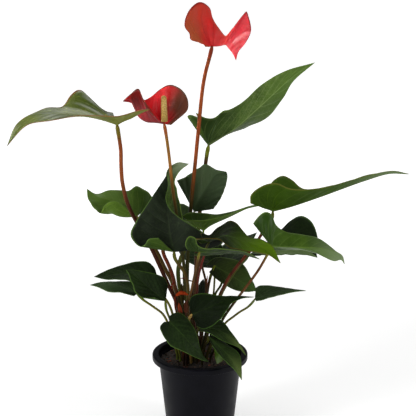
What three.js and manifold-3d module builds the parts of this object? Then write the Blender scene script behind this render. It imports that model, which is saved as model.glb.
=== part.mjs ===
// A potted anthurium: a black nursery pot of peat, a clump of long-stalked heart-shaped
// leaves and two red flowers. Millimetres, +Z up, the origin at the middle of the pot's base.
import * as THREE from 'three';
import { mergeVertices } from 'three/addons/utils/BufferGeometryUtils.js';
import Module from 'manifold-3d';

const wasm = await Module();
wasm.setup();

// Driving dimensions, in millimetres
const RIM_DIAMETER = 130;
const POT_HEIGHT = 118;
const BASE_DIAMETER = 90;
const RIM_DEPTH = 8;
const RIM_WIDTH = 8;
const WALL = 1.6;
const FLOOR = 2.4;
const DRAIN_HOLES = 6;
const DRAIN_RADIUS = 5;
const DRAIN_CIRCLE = 28;
const SOIL_LEVEL = 107;
const SOIL_CROWN = 2;
const STEM_ROOT = 22;
const STEM_RISE = 8;
const HOLE_SLACK = 1.5;
const BLADE_THICKNESS = 1;
const CLEARANCE = 0.4;
const SPADIX_LENGTH = 34;
const SPADIX_RADIUS = 4.2;

// Faceting
const POT_SIDES = 40;
const STALK_SIDES = 6;
const LARGE_BLADE = { from: 88, margin: 13, across: 3 };
const SMALL_BLADE = { margin: 10, across: 2 };
const SPADIX_SIDES = 12;
const SPADIX_ROWS = 16;

// Each point of the plant is given as it is seen from in front and a little above: how far
// across and how far down the view it lies, in steps, and its depth away from the viewer in
// millimetres. The view is square, the pot's rim is RIM_STEPS wide in it, and the rim's centre
// lies at RIM_SEEN.
const VIEW_CENTRE = 208;
const VIEW_FOCAL = 1100;
const VIEW_PITCH = THREE.MathUtils.degToRad(14.1);
const RIM_STEPS = 95.2;
const RIM_SEEN = { across: 200, down: 352 };

const stepSize = RIM_DIAMETER / RIM_STEPS;
const forward = new THREE.Vector3(0, Math.cos(VIEW_PITCH), -Math.sin(VIEW_PITCH));
const upward = new THREE.Vector3(0, Math.sin(VIEW_PITCH), Math.cos(VIEW_PITCH));
const eye = new THREE.Vector3(0, 0, POT_HEIGHT)
  .addScaledVector(forward, -VIEW_FOCAL * stepSize)
  .addScaledVector(upward, (RIM_SEEN.down - VIEW_CENTRE) * stepSize);
eye.x = (VIEW_CENTRE - RIM_SEEN.across) * stepSize;

function seen([across, down, depth]) {
  const ray = forward.clone().multiplyScalar(VIEW_FOCAL);
  ray.x += across - VIEW_CENTRE;
  ray.addScaledVector(upward, VIEW_CENTRE - down);
  return ray.multiplyScalar((depth - eye.y) / ray.y).add(eye);
}

// A smooth curve through points, followed by the share of its length
class ThroughPoints extends THREE.CatmullRomCurve3 {
  constructor(points) {
    super(points, false, 'centripetal');
    this.arcLengthDivisions = 120;
  }
}

// ---------------------------------------------------------------- solids

function solidOf(geometry) {
  const bare = geometry.index ? geometry.toNonIndexed() : geometry.clone();
  bare.deleteAttribute('normal');
  bare.deleteAttribute('uv');
  const merged = mergeVertices(bare, 1e-4);
  return new wasm.Manifold(new wasm.Mesh({
    numProp: 3,
    vertProperties: new Float32Array(merged.attributes.position.array),
    triVerts: new Uint32Array(merged.index.array),
  }));
}

function geometryOf(solid) {
  const mesh = solid.getMesh();
  const geometry = new THREE.BufferGeometry();
  geometry.setAttribute('position', new THREE.BufferAttribute(mesh.vertProperties, 3));
  geometry.setIndex(new THREE.BufferAttribute(mesh.triVerts, 1));
  return geometry;
}

// A round stalk along points, thicker towards its foot, with closed ends
function stalkGeometry(points, topRadius, footRadius, steps, sides = STALK_SIDES) {
  const curve = new ThroughPoints(points);
  const rings = [];
  let side = new THREE.Vector3(1, 0, 0);
  for (let i = 0; i <= steps; i += 1) {
    const share = i / steps;
    const centre = curve.getPointAt(share);
    const along = curve.getTangentAt(share);
    side = side.clone().addScaledVector(along, -side.dot(along)).normalize();
    const other = along.clone().cross(side);
    const radius = THREE.MathUtils.lerp(topRadius, footRadius, share);
    const ring = [];
    for (let k = 0; k < sides; k += 1) {
      const turn = (2 * Math.PI * k) / sides;
      ring.push(centre.clone()
        .addScaledVector(side, radius * Math.cos(turn))
        .addScaledVector(other, radius * Math.sin(turn)));
    }
    rings.push(ring);
  }
  return closedRings(rings);
}

// Rings of points joined into one closed skin, each end closed by a fan
function closedRings(rings) {
  const sides = rings[0].length;
  const points = rings.flat();
  const faces = [];
  for (let i = 0; i + 1 < rings.length; i += 1) {
    for (let k = 0; k < sides; k += 1) {
      const next = (k + 1) % sides;
      const low = i * sides;
      const high = low + sides;
      faces.push([low + k, low + next, high + next], [low + k, high + next, high + k]);
    }
  }
  const last = (rings.length - 1) * sides;
  for (let k = 1; k + 1 < sides; k += 1) {
    faces.push([0, k + 1, k], [last, last + k, last + k + 1]);
  }
  return skin(points, faces);
}

function skin(points, faces) {
  const geometry = new THREE.BufferGeometry();
  geometry.setFromPoints(points);
  geometry.setIndex(faces.flat());
  return geometry;
}

// ---------------------------------------------------------------- blades

// The share of a margin's length that belongs to the basal lobe, fanned out from the stalk joint
const LOBE_SHARE = 0.3;

// A point of a half blade: along is the share of the margin, across goes from midrib to margin
function bladePoint(blade, half, along, across) {
  const run = Math.max(0, (along - LOBE_SHARE) / (1 - LOBE_SHARE));
  const rib = blade.midrib.getPointAt(run);
  const reach = blade[half].getPointAt(along).sub(rib);
  const lift = blade.midrib.getTangentAt(run).cross(reach);
  if (lift.length() > 1e-6) lift.normalize();
  const belly = bellyAt(blade.belly[half], along) * Math.sin(Math.PI * across);
  lift.multiplyScalar(half === 'left' ? belly : -belly);
  return rib.addScaledVector(reach, across).add(lift);
}

function bellyAt(belly, share) {
  const place = share * (belly.length - 1);
  const index = Math.min(Math.floor(place), belly.length - 2);
  return THREE.MathUtils.lerp(belly[index], belly[index + 1], place - index);
}

// The blade's middle surface as points and faces, its upper side outwards
function bladeSheet(blade, size) {
  const points = [];
  const known = new Map();
  const faces = [];
  const add = (point) => {
    const key = point.toArray().map((value) => Math.round(value * 1e3)).join();
    if (!known.has(key)) {
      known.set(key, points.length);
      points.push(point);
    }
    return known.get(key);
  };
  for (const half of ['left', 'right']) {
    const grid = Array.from({ length: size.margin + 1 }, (_, i) => (
      Array.from({ length: size.across + 1 }, (_, j) => (
        add(bladePoint(blade, half, i / size.margin, j / size.across))))));
    for (let i = 0; i + 1 < grid.length; i += 1) {
      for (let j = 0; j < size.across; j += 1) {
        const corners = [grid[i][j], grid[i + 1][j], grid[i + 1][j + 1], grid[i][j + 1]];
        if (half === 'right') corners.reverse();
        const [a, b, c, d] = corners;
        for (const face of [[a, b, c], [a, c, d]]) {
          if (new Set(face).size === 3) faces.push(face);
        }
      }
    }
  }
  return { points, faces };
}

// A sheet given a thickness: both faces are split alike and a narrow edge closes them
function thickened({ points, faces }, thickness) {
  const normals = points.map(() => new THREE.Vector3());
  for (const [a, b, c] of faces) {
    const normal = points[b].clone().sub(points[a]).cross(points[c].clone().sub(points[a]));
    for (const corner of [a, b, c]) normals[corner].add(normal);
  }
  const shift = (side) => points.map((point, i) => (
    point.clone().addScaledVector(normals[i].clone().normalize(), side * thickness / 2)));
  const count = points.length;
  const all = [];
  const open = new Map();
  for (const [a, b, c] of faces) {
    all.push([a, b, c], [c + count, b + count, a + count]);
    for (const [from, to] of [[a, b], [b, c], [c, a]]) {
      const back = `${to},${from}`;
      if (open.has(back)) open.delete(back);
      else open.set(`${from},${to}`, [from, to]);
    }
  }
  for (const [from, to] of open.values()) {
    all.push([to, from, from + count], [to, from + count, to + count]);
  }
  return skin([...shift(1), ...shift(-1)], all);
}

function curvesOf(blade) {
  const tip = blade.midrib.at(-1);
  const through = (list) => new ThroughPoints(list.map(seen));
  return {
    midrib: through(blade.midrib),
    left: through([...blade.left, tip]),
    right: through([...blade.right, tip]),
    belly: { left: [0, 0], right: [0, 0], ...blade.belly },
  };
}

function bladeSolid(blade, size = null) {
  const curves = curvesOf(blade);
  size ??= curves.midrib.getLength() > LARGE_BLADE.from ? LARGE_BLADE : SMALL_BLADE;
  return solidOf(thickened(bladeSheet(curves, size), BLADE_THICKNESS));
}

// The whole route of a stalk: from the blade down to its own spot in the soil
function stalkPoints(part) {
  const [x, y] = part.foot;
  return [part.midrib[0], ...part.stalk].map(seen).concat([
    new THREE.Vector3(x, y, SOIL_LEVEL + STEM_RISE),
    new THREE.Vector3(x, y, SOIL_LEVEL - STEM_RISE / 2),
    new THREE.Vector3(x, y, SOIL_LEVEL - STEM_ROOT),
  ]);
}

// ---------------------------------------------------------------- the plant's leaves
// midrib runs from the stalk to the tip; left and right are the margins between those two, by
// way of each basal lobe; belly is how far each half bows out; stalk leads down to its foot, and
// girth is the radius of that stalk at its top.

const LEAVES = {
  leaf_high_left: {
    midrib: [[117, 125, -12], [98, 119, -14], [70, 114, -20], [40, 116, -30], [20, 127, -38],
      [7, 146, -42]],
    left: [[150, 109, -46], [140, 110.5, -50], [117, 116, -52], [98, 116, -54],
      [80, 115, -54], [62, 119, -52], [27, 125.5, -44]],
    right: [[113, 113, 14], [105, 111, 18], [95, 103, 20], [79.5, 90, 20], [71, 95, 14],
      [62, 106.5, 2], [43, 109, -14], [17, 124, -34]],
    stalk: [[119, 137, -13], [120.8, 150, -14], [121.1, 165, -15], [122.5, 183, -17], [129, 207, -17],
      [150, 245.5, -16], [167, 282, -14], [179, 310, -9]],
    girth: 2.5,
    foot: [-22, -2],
    bladeColour: 0x6f8a58,
  },
  leaf_high_right: {
    midrib: [[208.5, 146, 50], [234.5, 129, 47], [261, 105.5, 42], [295, 75, 38], [315, 62.4, 34]],
    left: [[195.6, 112.2, 58], [203, 116.8, 58], [210.6, 118.4, 57], [216, 116.8, 56], [223.5, 110.6, 54],
      [228.5, 109.8, 53], [239, 104.5, 51], [245, 100, 50], [262, 84.4, 46], [285, 71, 40]],
    right: [[188.4, 118.7, 92], [187.3, 116.6, 95], [189.2, 114.9, 99], [194, 116, 105], [201, 119, 113],
      [212, 121.5, 120], [224, 124, 112], [235, 128.6, 92], [243, 129, 82], [250, 126, 77],
      [261, 121, 70], [272, 113, 62], [283, 98, 52], [293, 81.6, 44]],
    stalk: [[207, 154, 54], [205.8, 162, 56], [203, 185, 56], [199, 220, 50], [196.6, 255, 40],
      [194.9, 284.5, 31], [192.5, 296, 27], [190.8, 308, 23]],
    girth: 2.6,
    foot: [-9, 17],
    bladeColour: 0x3a5a24,
  },
  leaf_left: {
    midrib: [[136.6, 216.6, 25], [125, 207, 28], [110, 200, 30], [95, 195.5, 32], [87, 189, 34]],
    left: [[122, 204, 0], [113, 201, -2], [104, 206, 5], [100.7, 212.8, 10],
      [95, 209, 15], [88, 198, 25]],
    right: [[146.5, 208, 41], [152.5, 200, 46], [149.5, 193.4, 48], [144, 189.6, 48],
      [136.6, 186, 50], [129, 190.6, 48], [110.6, 190, 42], [96, 194, 38]],
    belly: { left: [0, -10, -10, -2, 0] },
    stalk: [[139, 222, 25], [147, 238, 22], [156.6, 251.6, 18], [164.8, 268.2, 13],
      [170.8, 279.1, 9], [174.4, 290, 7.5], [176.4, 302, 7.5]],
    girth: 2.7,
    foot: [-21, 8],
    bladeColour: 0x4a6a38,
  },
  leaf_centre: {
    midrib: [[174, 252, -50], [170, 232, -44], [168.6, 214, -36], [167.5, 194, -24], [167, 174.5, -15]],
    left: [[158.5, 238, -68], [149, 239, -68], [145, 244.5, -60], [139.5, 246.3, -52],
      [130.5, 235, -42], [136.6, 220.4, -36], [151, 198.3, -28], [162, 182, -20]],
    right: [[212, 247.5, -40], [221, 244.6, -40], [223.5, 240.4, -42], [216, 237, -44], [206, 234.4, -46],
      [200.4, 230.3, -50], [190, 224, -54],
      [178, 216.4, -50], [170, 209.3, -46], [166, 198.5, -37], [168.4, 185, -25]],
    belly: { left: [0, -8, 0, 0, 0] },
    stalk: [[174.8, 258, -46], [178.4, 264, -42], [184.2, 272, -36], [187, 280, -32],
      [188.2, 290, -27], [187.5, 305, -20]],
    girth: 2.1,
    foot: [-16, -10],
    bladeColour: 0x222c24,
  },
  leaf_centre_rear: {
    midrib: [[166, 240, 12], [169, 208, 14], [169.5, 186, 16], [173, 170, 16], [189, 163.7, 6]],
    left: [[160, 236, 20], [155, 224, 26], [159, 205, 26], [165, 185, 25], [166.8, 171.5, 26],
      [177, 162.6, 17]],
    right: [[176, 236, 10], [182, 226, 4], [182, 214, 2], [179, 200.6, 2], [176.6, 189.4, 2],
      [174.6, 183, 3], [178.5, 172.5, 6]],
    stalk: [[163, 251, 6], [168.8, 265.5, 3], [173, 277, 1], [175.6, 289, 0], [179, 302, -1]],
    girth: 2.5,
    foot: [-15, -2],
    bladeColour: 0x466432,
  },
  leaf_rear_upright: {
    midrib: [[194, 212, 22], [202, 197, 26], [209, 185, 31], [215.4, 175.3, 35], [226.5, 171.8, 36]],
    left: [[176.8, 180.5, 36], [185, 177, 40], [197, 169, 44],
      [206, 164.3, 44], [216, 169.5, 40]],
    right: [[213.5, 209, 18], [221, 197.7, 22], [226, 185, 28],
      [227.5, 175.5, 32]],
    stalk: [[196, 236, 26], [199, 256, 26], [203, 270, 26], [205.6, 281, 25], [206, 293, 22]],
    girth: 1.5,
    foot: [-9, 10],
    bladeColour: 0x26382c,
  },
  leaf_middle_trough: {
    midrib: [[203.5, 231, -2], [210, 226, -4], [230.7, 216.4, -7], [251, 207, -4], [264, 205, 3]],
    left: [[182, 216.3, 6], [188, 212.8, 8], [203, 213, 10], [218, 214.3, 8],
      [234, 211, 4], [253.7, 205.2, 1]],
    right: [[184, 219.8, -24], [195, 220.5, -28], [205, 220.3, -30], [225.6, 215.7, -26],
      [241, 209.8, -14]],
    stalk: [[202, 240, -4], [199, 262, -5], [195, 290, -4]],
    girth: 1.6,
    foot: [-2, 2],
    bladeColour: 0x3c5e38,
  },
  leaf_front_strip: {
    midrib: [[199.6, 252, -86], [215, 252, -86], [232, 251.8, -84], [247, 254.4, -80], [259.6, 259.2, -74]],
    left: [[194, 254, -80], [197, 256, -72], [204, 255.4, -66], [216, 254.8, -62], [230, 253.6, -60],
      [243, 254.4, -63], [253, 257.4, -68]],
    right: [[193, 251.5, -90], [187, 249, -94], [185.4, 243, -98], [189, 236.5, -98], [195, 238, -100],
      [197, 245, -102], [203, 248.2, -102], [218, 248.8, -103], [234, 250, -101], [248, 253, -93],
      [254, 256, -84]],
    stalk: [[197.6, 261, -72], [194.6, 275, -58], [191.4, 290, -45], [188, 310, -30]],
    girth: 1.5,
    foot: [-9, -12],
    bladeColour: 0x5a7a48,
  },
  leaf_front_hump: {
    midrib: [[209.5, 242, -58], [225, 236, -60], [245, 242, -64], [264, 250, -68], [280.7, 263.3, -72]],
    left: [[202.5, 238, -54], [201, 233, -54], [209, 235, -51], [216, 229, -45], [223, 224, -38],
      [230, 221, -36], [237, 223.5, -38], [247.7, 236.3, -48], [261, 239.5, -56], [272, 246, -64]],
    right: [[201, 244, -64], [196, 239, -74], [203, 239, -80], [217.5, 238.8, -88], [231.6, 248, -90],
      [250, 251.4, -86], [268, 254.8, -77]],
    stalk: [[206.3, 248, -56], [203.9, 256.5, -53], [200.3, 268.6, -47], [198, 280, -42],
      [197, 292, -36], [194, 315, -24]],
    girth: 1.4,
    foot: [-2, -13],
    bladeColour: 0x3e6a24,
  },
  leaf_right_long: {
    midrib: [[272.8, 211.5, 0], [290.5, 207, -4], [318.6, 197.6, -8], [363.5, 181.3, -16],
      [391, 173.4, -22], [409, 174, -26]],
    left: [[267, 189, 24], [274, 180, 32], [282.7, 175.7, 36], [292, 180, 34],
      [303, 188.6, 26], [335.4, 185, 8], [374.7, 173.7, -10]],
    right: [[250.5, 203.4, -28], [251, 195, -32], [262.4, 186, -36],
      [275.6, 183.3, -36], [290.5, 188.6, -32], [318.6, 188.6, -26], [352, 180, -25], [391.5, 171, -26]],
    stalk: [[272, 219, 3], [264, 230, 5], [255, 245, 6], [241.3, 261, 7], [230.4, 275, 7.5],
      [225, 284.3, 8],
      [219.5, 296, 8]],
    girth: 2,
    foot: [4, 5],
    bladeColour: 0x4a7a28,
  },
  leaf_right: {
    midrib: [[271.6, 247, -25], [296, 247.3, -30], [330, 249.8, -38], [342, 255.4, -44], [344.5, 264, -46]],
    left: [[253, 223.5, -12], [258, 217, -10], [265, 212, -10],
      [271, 214, -10], [276, 225, -10], [284, 231, -12], [296, 234, -14], [316, 237.4, -20],
      [335.4, 251, -36]],
    right: [[274, 250, -18], [285, 250, -10], [303, 249.5, -16], [318.6, 254.3, -32], [334, 261.2, -45],
      [341, 260, -47]],
    stalk: [[266.6, 256, -25], [258.2, 270.4, -24], [244.5, 289, -20], [235, 301.5, -16],
      [222.7, 319.5, -12]],
    girth: 1.7,
    foot: [9, -8],
    bladeColour: 0x446a34,
  },
  leaf_right_rear: {
    midrib: [[250, 254, 26], [275, 252.7, 22], [296, 253.7, 18], [310, 255, 16], [317.5, 257.5, 14]],
    left: [[256, 250, 36], [272, 246, 46], [283, 229.6, 50], [290, 221, 52], [301.7, 216, 52],
      [310, 220, 48], [315, 228, 42], [318, 240, 30], [316.5, 253, 18]],
    right: [[252, 256, 18], [270, 254.8, 4], [290, 254.6, 6], [305, 254.8, 11]],
    stalk: [[246, 258, 26], [236, 270, 25], [221, 295, 20]],
    girth: 1.8,
    foot: [2, 13],
    bladeColour: 0x2a3a26,
  },
  leaf_rear_low: {
    midrib: [[214.6, 266, 40], [227, 273, 38], [243, 283, 36], [256.5, 291, 34]],
    left: [[206, 265, 46], [215, 258, 50], [232, 259, 50], [243, 264, 48], [250.4, 276.6, 42],
      [254.8, 285.5, 38]],
    right: [[209, 272, 36], [215, 278, 34], [225, 285, 32], [236, 290.5, 32], [247, 292, 33]],
    stalk: [[211, 275, 38], [207.8, 289, 32]],
    girth: 1.9,
    foot: [1, 24],
    bladeColour: 0x2c3e2c,
  },
  leaf_low_right: {
    midrib: [[255, 299, -10], [275, 292.5, -12], [293, 290.5, -14], [306, 290.7, -16]],
    left: [[255.5, 288, 6], [259.5, 285.8, 9], [267, 285.4, 10], [281.6, 287.3, 4], [295, 289.3, -8]],
    right: [[256, 301, -18], [261, 300.3, -26], [270, 297.6, -30], [282, 294.6, -24], [294, 292, -18]],
    stalk: [[252, 303, -10], [247.5, 307.3, -9], [240, 311.8, -8], [233, 317, -6], [225.5, 323, -4]],
    girth: 1.4,
    foot: [10, -1],
    bladeColour: 0x34502e,
  },
  leaf_low_front: {
    midrib: [[192, 314.6, -48], [205.7, 309, -52], [223.6, 301.5, -56], [240, 297.5, -60], [254, 297, -62]],
    left: [[188.6, 303.4, -47], [191, 297.4, -47], [196, 294.2, -48], [206, 293.4, -48],
      [220, 295.6, -50], [239.6, 296, -56]],
    right: [[197, 326.5, -58], [204, 329, -62], [213, 325.5, -66], [222, 317.5, -68],
      [231.6, 303.5, -66], [242, 298.5, -64]],
    stalk: [[189.3, 318, -39], [187.3, 325, -29.4]],
    girth: 1.7,
    foot: [-12, -19],
    bladeColour: 0x3e6a34,
  },
  leaf_rim_upper: {
    midrib: [[199.4, 326.6, -42], [216, 329.5, -49], [230, 337, -56], [239, 345.5, -62],
      [246, 355.5, -66]],
    left: [[204, 322, -36], [213, 320.5, -36], [221, 319.8, -38], [226, 325, -44],
      [233.5, 335, -52], [241, 346, -60]],
    right: [[199.6, 331, -46], [205, 332, -51], [211, 334, -54], [219, 339, -58],
      [228, 343.2, -62], [238.7, 347.8, -64]],
    stalk: [[197.6, 331, -37], [196, 340, -30]],
    girth: 1.4,
    foot: [-4, -21],
    bladeColour: 0x3c6430,
  },
  leaf_rim_lower: {
    midrib: [[208.5, 336.5, -52], [220, 347, -62], [232, 360, -73], [239.5, 371, -79], [241.8, 380.3, -81]],
    left: [[213, 335, -45], [224, 342.6, -51], [234, 349, -60], [239.7, 355, -68],
      [241.6, 366, -76]],
    right: [[212.5, 346, -63], [217.5, 353, -69], [226, 361.8, -77], [234.5, 369.8, -81]],
    stalk: [[208.4, 340.4, -45], [204.6, 346, -36]],
    girth: 1.4,
    foot: [3, -23],
    bladeColour: 0x3c6430,
  },
  leaf_low_left_front: {
    midrib: [[169.5, 321.6, -46], [182.8, 335, -56], [193.6, 347.5, -62], [202, 356, -65],
      [208.5, 361.6, -67]],
    left: [[168.5, 317, -42], [173, 313.5, -40], [180, 312.8, -40], [188, 319, -44], [196, 332, -51],
      [199.3, 345, -57], [202.7, 355, -63]],
    right: [[164, 321.8, -50], [160, 327, -56], [163, 335, -62], [171, 346, -66], [181, 350.5, -68],
      [192, 355.8, -68], [202.7, 360.4, -68]],
    stalk: [[172, 322, -40], [176, 328, -32]],
    girth: 1.4,
    foot: [-22, -16],
    bladeColour: 0x34502e,
  },
  leaf_low_left: {
    midrib: [[165.3, 301, -30], [155, 293, -34], [143, 283, -38], [133, 274.5, -42], [126, 269.6, -45]],
    left: [[155, 297.7, -48], [146, 298, -54], [137.5, 295, -56], [133, 286, -54],
      [129, 275, -50]],
    right: [[168, 285, -20], [163.5, 277.5, -20], [153.7, 273.5, -26], [143, 271.4, -32],
      [133, 269.8, -40]],
    stalk: [[166.4, 310, -27], [170, 319.5, -23]],
    girth: 1.5,
    foot: [-27, -9],
    bladeColour: 0x2e4630,
  },
  leaf_left_upper: {
    midrib: [[153, 284, 4], [138, 276, 5], [120, 274, 6], [105, 276, 7], [94, 276.7, 8]],
    left: [[150, 290, -5], [140, 288, -12], [130, 281, -13], [118.6, 279.5, -9], [106, 279.5, 0]],
    right: [[157, 276, 12], [154.5, 268, 16], [148, 262, 19], [137.5, 261.4, 20], [123.5, 264.7, 18],
      [110, 269, 14], [101, 273, 10]],
    stalk: [[160, 293, 3], [167, 301, 2], [172, 312, 1]],
    girth: 1.6,
    foot: [-31, 5],
    bladeColour: 0x2c3e2c,
  },
  leaf_left_lower: {
    midrib: [[137, 294, -6], [122, 287, 0], [105, 284.5, 4], [90, 285, 8]],
    left: [[134, 296, -15], [128, 294.5, -20], [120, 292.3, -20], [109.5, 292, -14], [97.5, 287, 0]],
    right: [[140, 290, -1], [139, 285, 4], [130, 281.5, 8], [115, 281.5, 10], [100, 282.3, 9]],
    stalk: [[143, 299.6, -8], [153.7, 307, -9], [164, 315.6, -9]],
    girth: 1.5,
    foot: [-31, -4],
    bladeColour: 0x344a30,
  },
  leaf_rear_dark: {
    midrib: [[215, 264, 52], [201, 257, 72], [188, 251, 96], [177, 246, 118]],
    left: [[212, 268, 46], [200, 267, 52], [188, 262, 70], [180, 254, 98]],
    right: [[221, 255, 60], [223, 247, 64], [214, 241.5, 84], [198, 240.5, 108], [184, 242, 120]],
    stalk: [[214.5, 280, 47], [213, 298, 40]],
    girth: 1.3,
    foot: [4, 29],
    bladeColour: 0x22302a,
  },
  leaf_rear_right: {
    midrib: [[226, 264, 64], [236, 254, 88], [248, 242, 118], [257, 232.5, 140]],
    left: [[219, 258, 72], [221, 247, 92], [233, 240, 116], [248, 235.6, 132]],
    right: [[231, 268, 58], [243, 264, 66], [251, 252, 90], [253, 241, 122]],
    stalk: [[221.4, 284, 50], [214.6, 296, 38]],
    girth: 1.5,
    foot: [14, 20],
    bladeColour: 0x2a3c2a,
  },
  leaf_rear_left: {
    midrib: [[190, 236, 46], [181, 224, 76], [173, 214, 112], [166, 208, 140]],
    left: [[184, 241, 48], [170, 237, 62], [160, 224, 90], [160, 211, 122]],
    right: [[196, 228, 56], [193, 213, 82], [186, 205, 108], [173, 204, 134]],
    stalk: [[186, 247, 40], [180.5, 259, 32], [178.2, 270, 26], [178.8, 282, 23], [181, 296, 20]],
    girth: 2.8,
    foot: [-16, 21],
    bladeColour: 0x38502e,
  },
  leaf_rear_small: {
    midrib: [[199.5, 306, 38], [200.4, 297, 40], [201.8, 288, 42], [203.4, 279, 44]],
    left: [[196.5, 305, 42], [194.6, 299, 44], [196.4, 290, 46], [200.6, 282, 46]],
    right: [[203, 305, 40], [205.4, 298, 42], [205.6, 290, 44], [204.8, 283, 45]],
    stalk: [[198.6, 316, 35]],
    girth: 1.3,
    foot: [-10, 28],
    bladeColour: 0x22302a,
  },
  leaf_soil_small: {
    midrib: [[220, 343, -38], [219, 353, -45], [217, 364, -50]],
    left: [[224, 346, -37], [226, 354, -41], [222, 361, -46]],
    right: [[215, 346, -40], [214.5, 354, -46], [215.5, 360, -49]],
    stalk: [[217.5, 345.5, -31]],
    girth: 1.4,
    foot: [14, -18],
    bladeColour: 0x4a7038,
  },
};

// ---------------------------------------------------------------- the flowers
// The spathe is a waxy bract with the same heart-shaped build as a leaf.

const FLOWERS = {
  top: {
    midrib: [[212, 46.5, 8], [219, 46.2, 2], [225.6, 45, -7], [228.6, 48.4, -12], [232.8, 53.6, -19],
      [236, 60.2, -24]],
    left: [[199, 41, 38], [209, 37, 48], [220, 38, 36], [226.5, 41.5, 14], [231, 45, 0],
      [234.6, 52.5, -14]],
    right: [[205.5, 47, 8], [201.5, 42.4, 7], [190.4, 39.6, 3], [189.4, 33.4, 1], [184.6, 26, -2],
      [188.6, 11, 0], [199.5, 2, 6], [209.5, 7.5, 10], [212.4, 17, 11], [217, 25.4, 9], [225, 35.9, -3],
      [226.2, 35.8, -6], [233.8, 27, -22], [244.6, 13, -29.5], [246.4, 11, -30], [247.6, 14.4, -31],
      [250.9, 30.6, -34], [246, 42.2, -32], [239.4, 50, -29], [237.2, 55.4, -26]],
    stalk: [[211.3, 50, 8.6], [208.8, 60, 9.6], [205.6, 72, 10.6], [202.7, 88, 12], [199.6, 117, 13],
      [196, 155, 14], [190.5, 211, 14], [188, 250, 13], [187, 290, 10]],
    girth: 2.4,
    foot: [-14, 12],
    spadix: [[211.8, 42.7, 14.4], [210, 23.3, 20]],
  },
  low: {
    midrib: [[164.2, 124, -14], [156, 122.8, -12], [146, 121.8, -8], [138.6, 116.8, -8], [134.6, 109, -10],
      [132.6, 103.6, -14], [122.8, 101.2, -18]],
    left: [[153, 115, -30], [147, 108, -34], [142.5, 98, -34], [138, 89, -30], [130, 94.6, -27]],
    right: [[171, 125, -12], [180, 117.5, -10], [187.5, 110, -8], [188, 100, -4], [182, 90, 2],
      [170.6, 84.7, 8], [160, 89.5, 10], [150.8, 97, 8], [143.5, 99.7, 4], [138, 88.6, -4],
      [131, 93.5, -10]],
    stalk: [[166, 134, -13], [168.7, 153, -12], [173, 190.6, -10], [176.4, 214, -9], [180, 240, -8],
      [183.5, 262, -7], [185, 290, -5]],
    girth: 2,
    foot: [-8, -5],
    spadix: [[164.4, 121.4, -20.5], [163.8, 98.4, -24]],
  },
};

// The papery sheaths that clasp the stalk bases, one with its dried tip bent over sideways
const SHEATHS = {
  sheath_bent: {
    midrib: [[175.4, 295.5, -40], [181.5, 292.4, -45], [188.7, 295.2, -43]],
    left: [[176.6, 293.6, -40], [181, 290.6, -43], [185.5, 292.2, -43]],
    right: [[177.2, 296.2, -42], [181.5, 294.9, -47], [186, 295.4, -45]],
    stalk: [[174.8, 300, -38], [175.4, 308, -33], [178.5, 320, -26]],
    foot: [-16.5, -19.5],
    bladeColour: 0x9a3a10,
  },
  sheath_left: {
    midrib: [[181, 315, -37], [180, 308, -39], [178.6, 302.6, -39]],
    left: [[178.6, 312, -36], [177.8, 306.5, -37]],
    right: [[182.6, 312, -38], [181, 306, -40]],
    stalk: [[181.8, 322, -33]],
    foot: [-21.5, -24.5],
    bladeColour: 0x9a2e14,
  },
  sheath_olive: {
    midrib: [[182, 304, 6], [181.6, 294, 7], [181.8, 283, 8]],
    left: [[179.6, 301, 7], [178.8, 292, 8]],
    right: [[184.4, 301, 6], [184.8, 292, 7]],
    stalk: [[182, 312, 6]],
    foot: [-12, 5],
    bladeColour: 0x4a4420,
  },
  sheath_right: {
    midrib: [[186, 314, -38], [185.8, 306, -39], [187.2, 299.4, -39]],
    left: [[183.6, 310.5, -36], [184, 304, -37]],
    right: [[188, 311, -40], [187.9, 304, -40]],
    stalk: [[185.2, 322, -36]],
    foot: [-18, -28],
    bladeColour: 0x5a2414,
  },
};

// ---------------------------------------------------------------- pieces

const LEAF_STALK = { top: 2.1, spread: 0.3, steps: 8 };
const FLOWER_STALK = { top: 2.1, spread: 0.4, steps: 12 };
const SHEATH_STALK = { top: 1.1, spread: 0.5, steps: 5 };

const topRadius = (part, size) => part.girth ?? size.top;
const footRadius = (part, size) => topRadius(part, size) + size.spread;

function stalkSolid(part, size) {
  return solidOf(stalkGeometry(
    stalkPoints(part), topRadius(part, size), footRadius(part, size), size.steps));
}

// A blade fused with its own stalk, as a leaf, a spathe or a sheath grows
function bladeOnStalk(part, stalkSize, bladeSize = null) {
  return bladeSolid(part, bladeSize).add(stalkSolid(part, stalkSize));
}

// The spadix: a tapering column whose florets stand out as a staggered relief
const SPADIX_TAPER = 0.22;
const SPADIX_CAP = 0.12;
const FLORET_HOLLOW = 0.93;

function spadixRadius(share) {
  const intoCap = Math.max(0, share - 1 + SPADIX_CAP) / SPADIX_CAP;
  const rounding = Math.sqrt(Math.max(0.02, 1 - intoCap ** 2));
  return SPADIX_RADIUS * (1 - SPADIX_TAPER * share) * rounding;
}

function spadixGeometry([base, tip]) {
  const from = seen(base);
  const axis = seen(tip).sub(from).normalize();
  const side = new THREE.Vector3(1, 0, 0).addScaledVector(axis, -axis.x).normalize();
  const other = axis.clone().cross(side);
  const rings = [];
  for (let i = 0; i <= SPADIX_ROWS; i += 1) {
    const share = i / SPADIX_ROWS;
    const ring = [];
    for (let k = 0; k < SPADIX_SIDES; k += 1) {
      const turn = (2 * Math.PI * k) / SPADIX_SIDES;
      const radius = spadixRadius(share) * ((i + k) % 2 ? 1 : FLORET_HOLLOW);
      ring.push(from.clone()
        .addScaledVector(axis, SPADIX_LENGTH * share)
        .addScaledVector(side, radius * Math.cos(turn))
        .addScaledVector(other, radius * Math.sin(turn)));
    }
    rings.push(ring);
  }
  return closedRings(rings);
}

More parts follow.
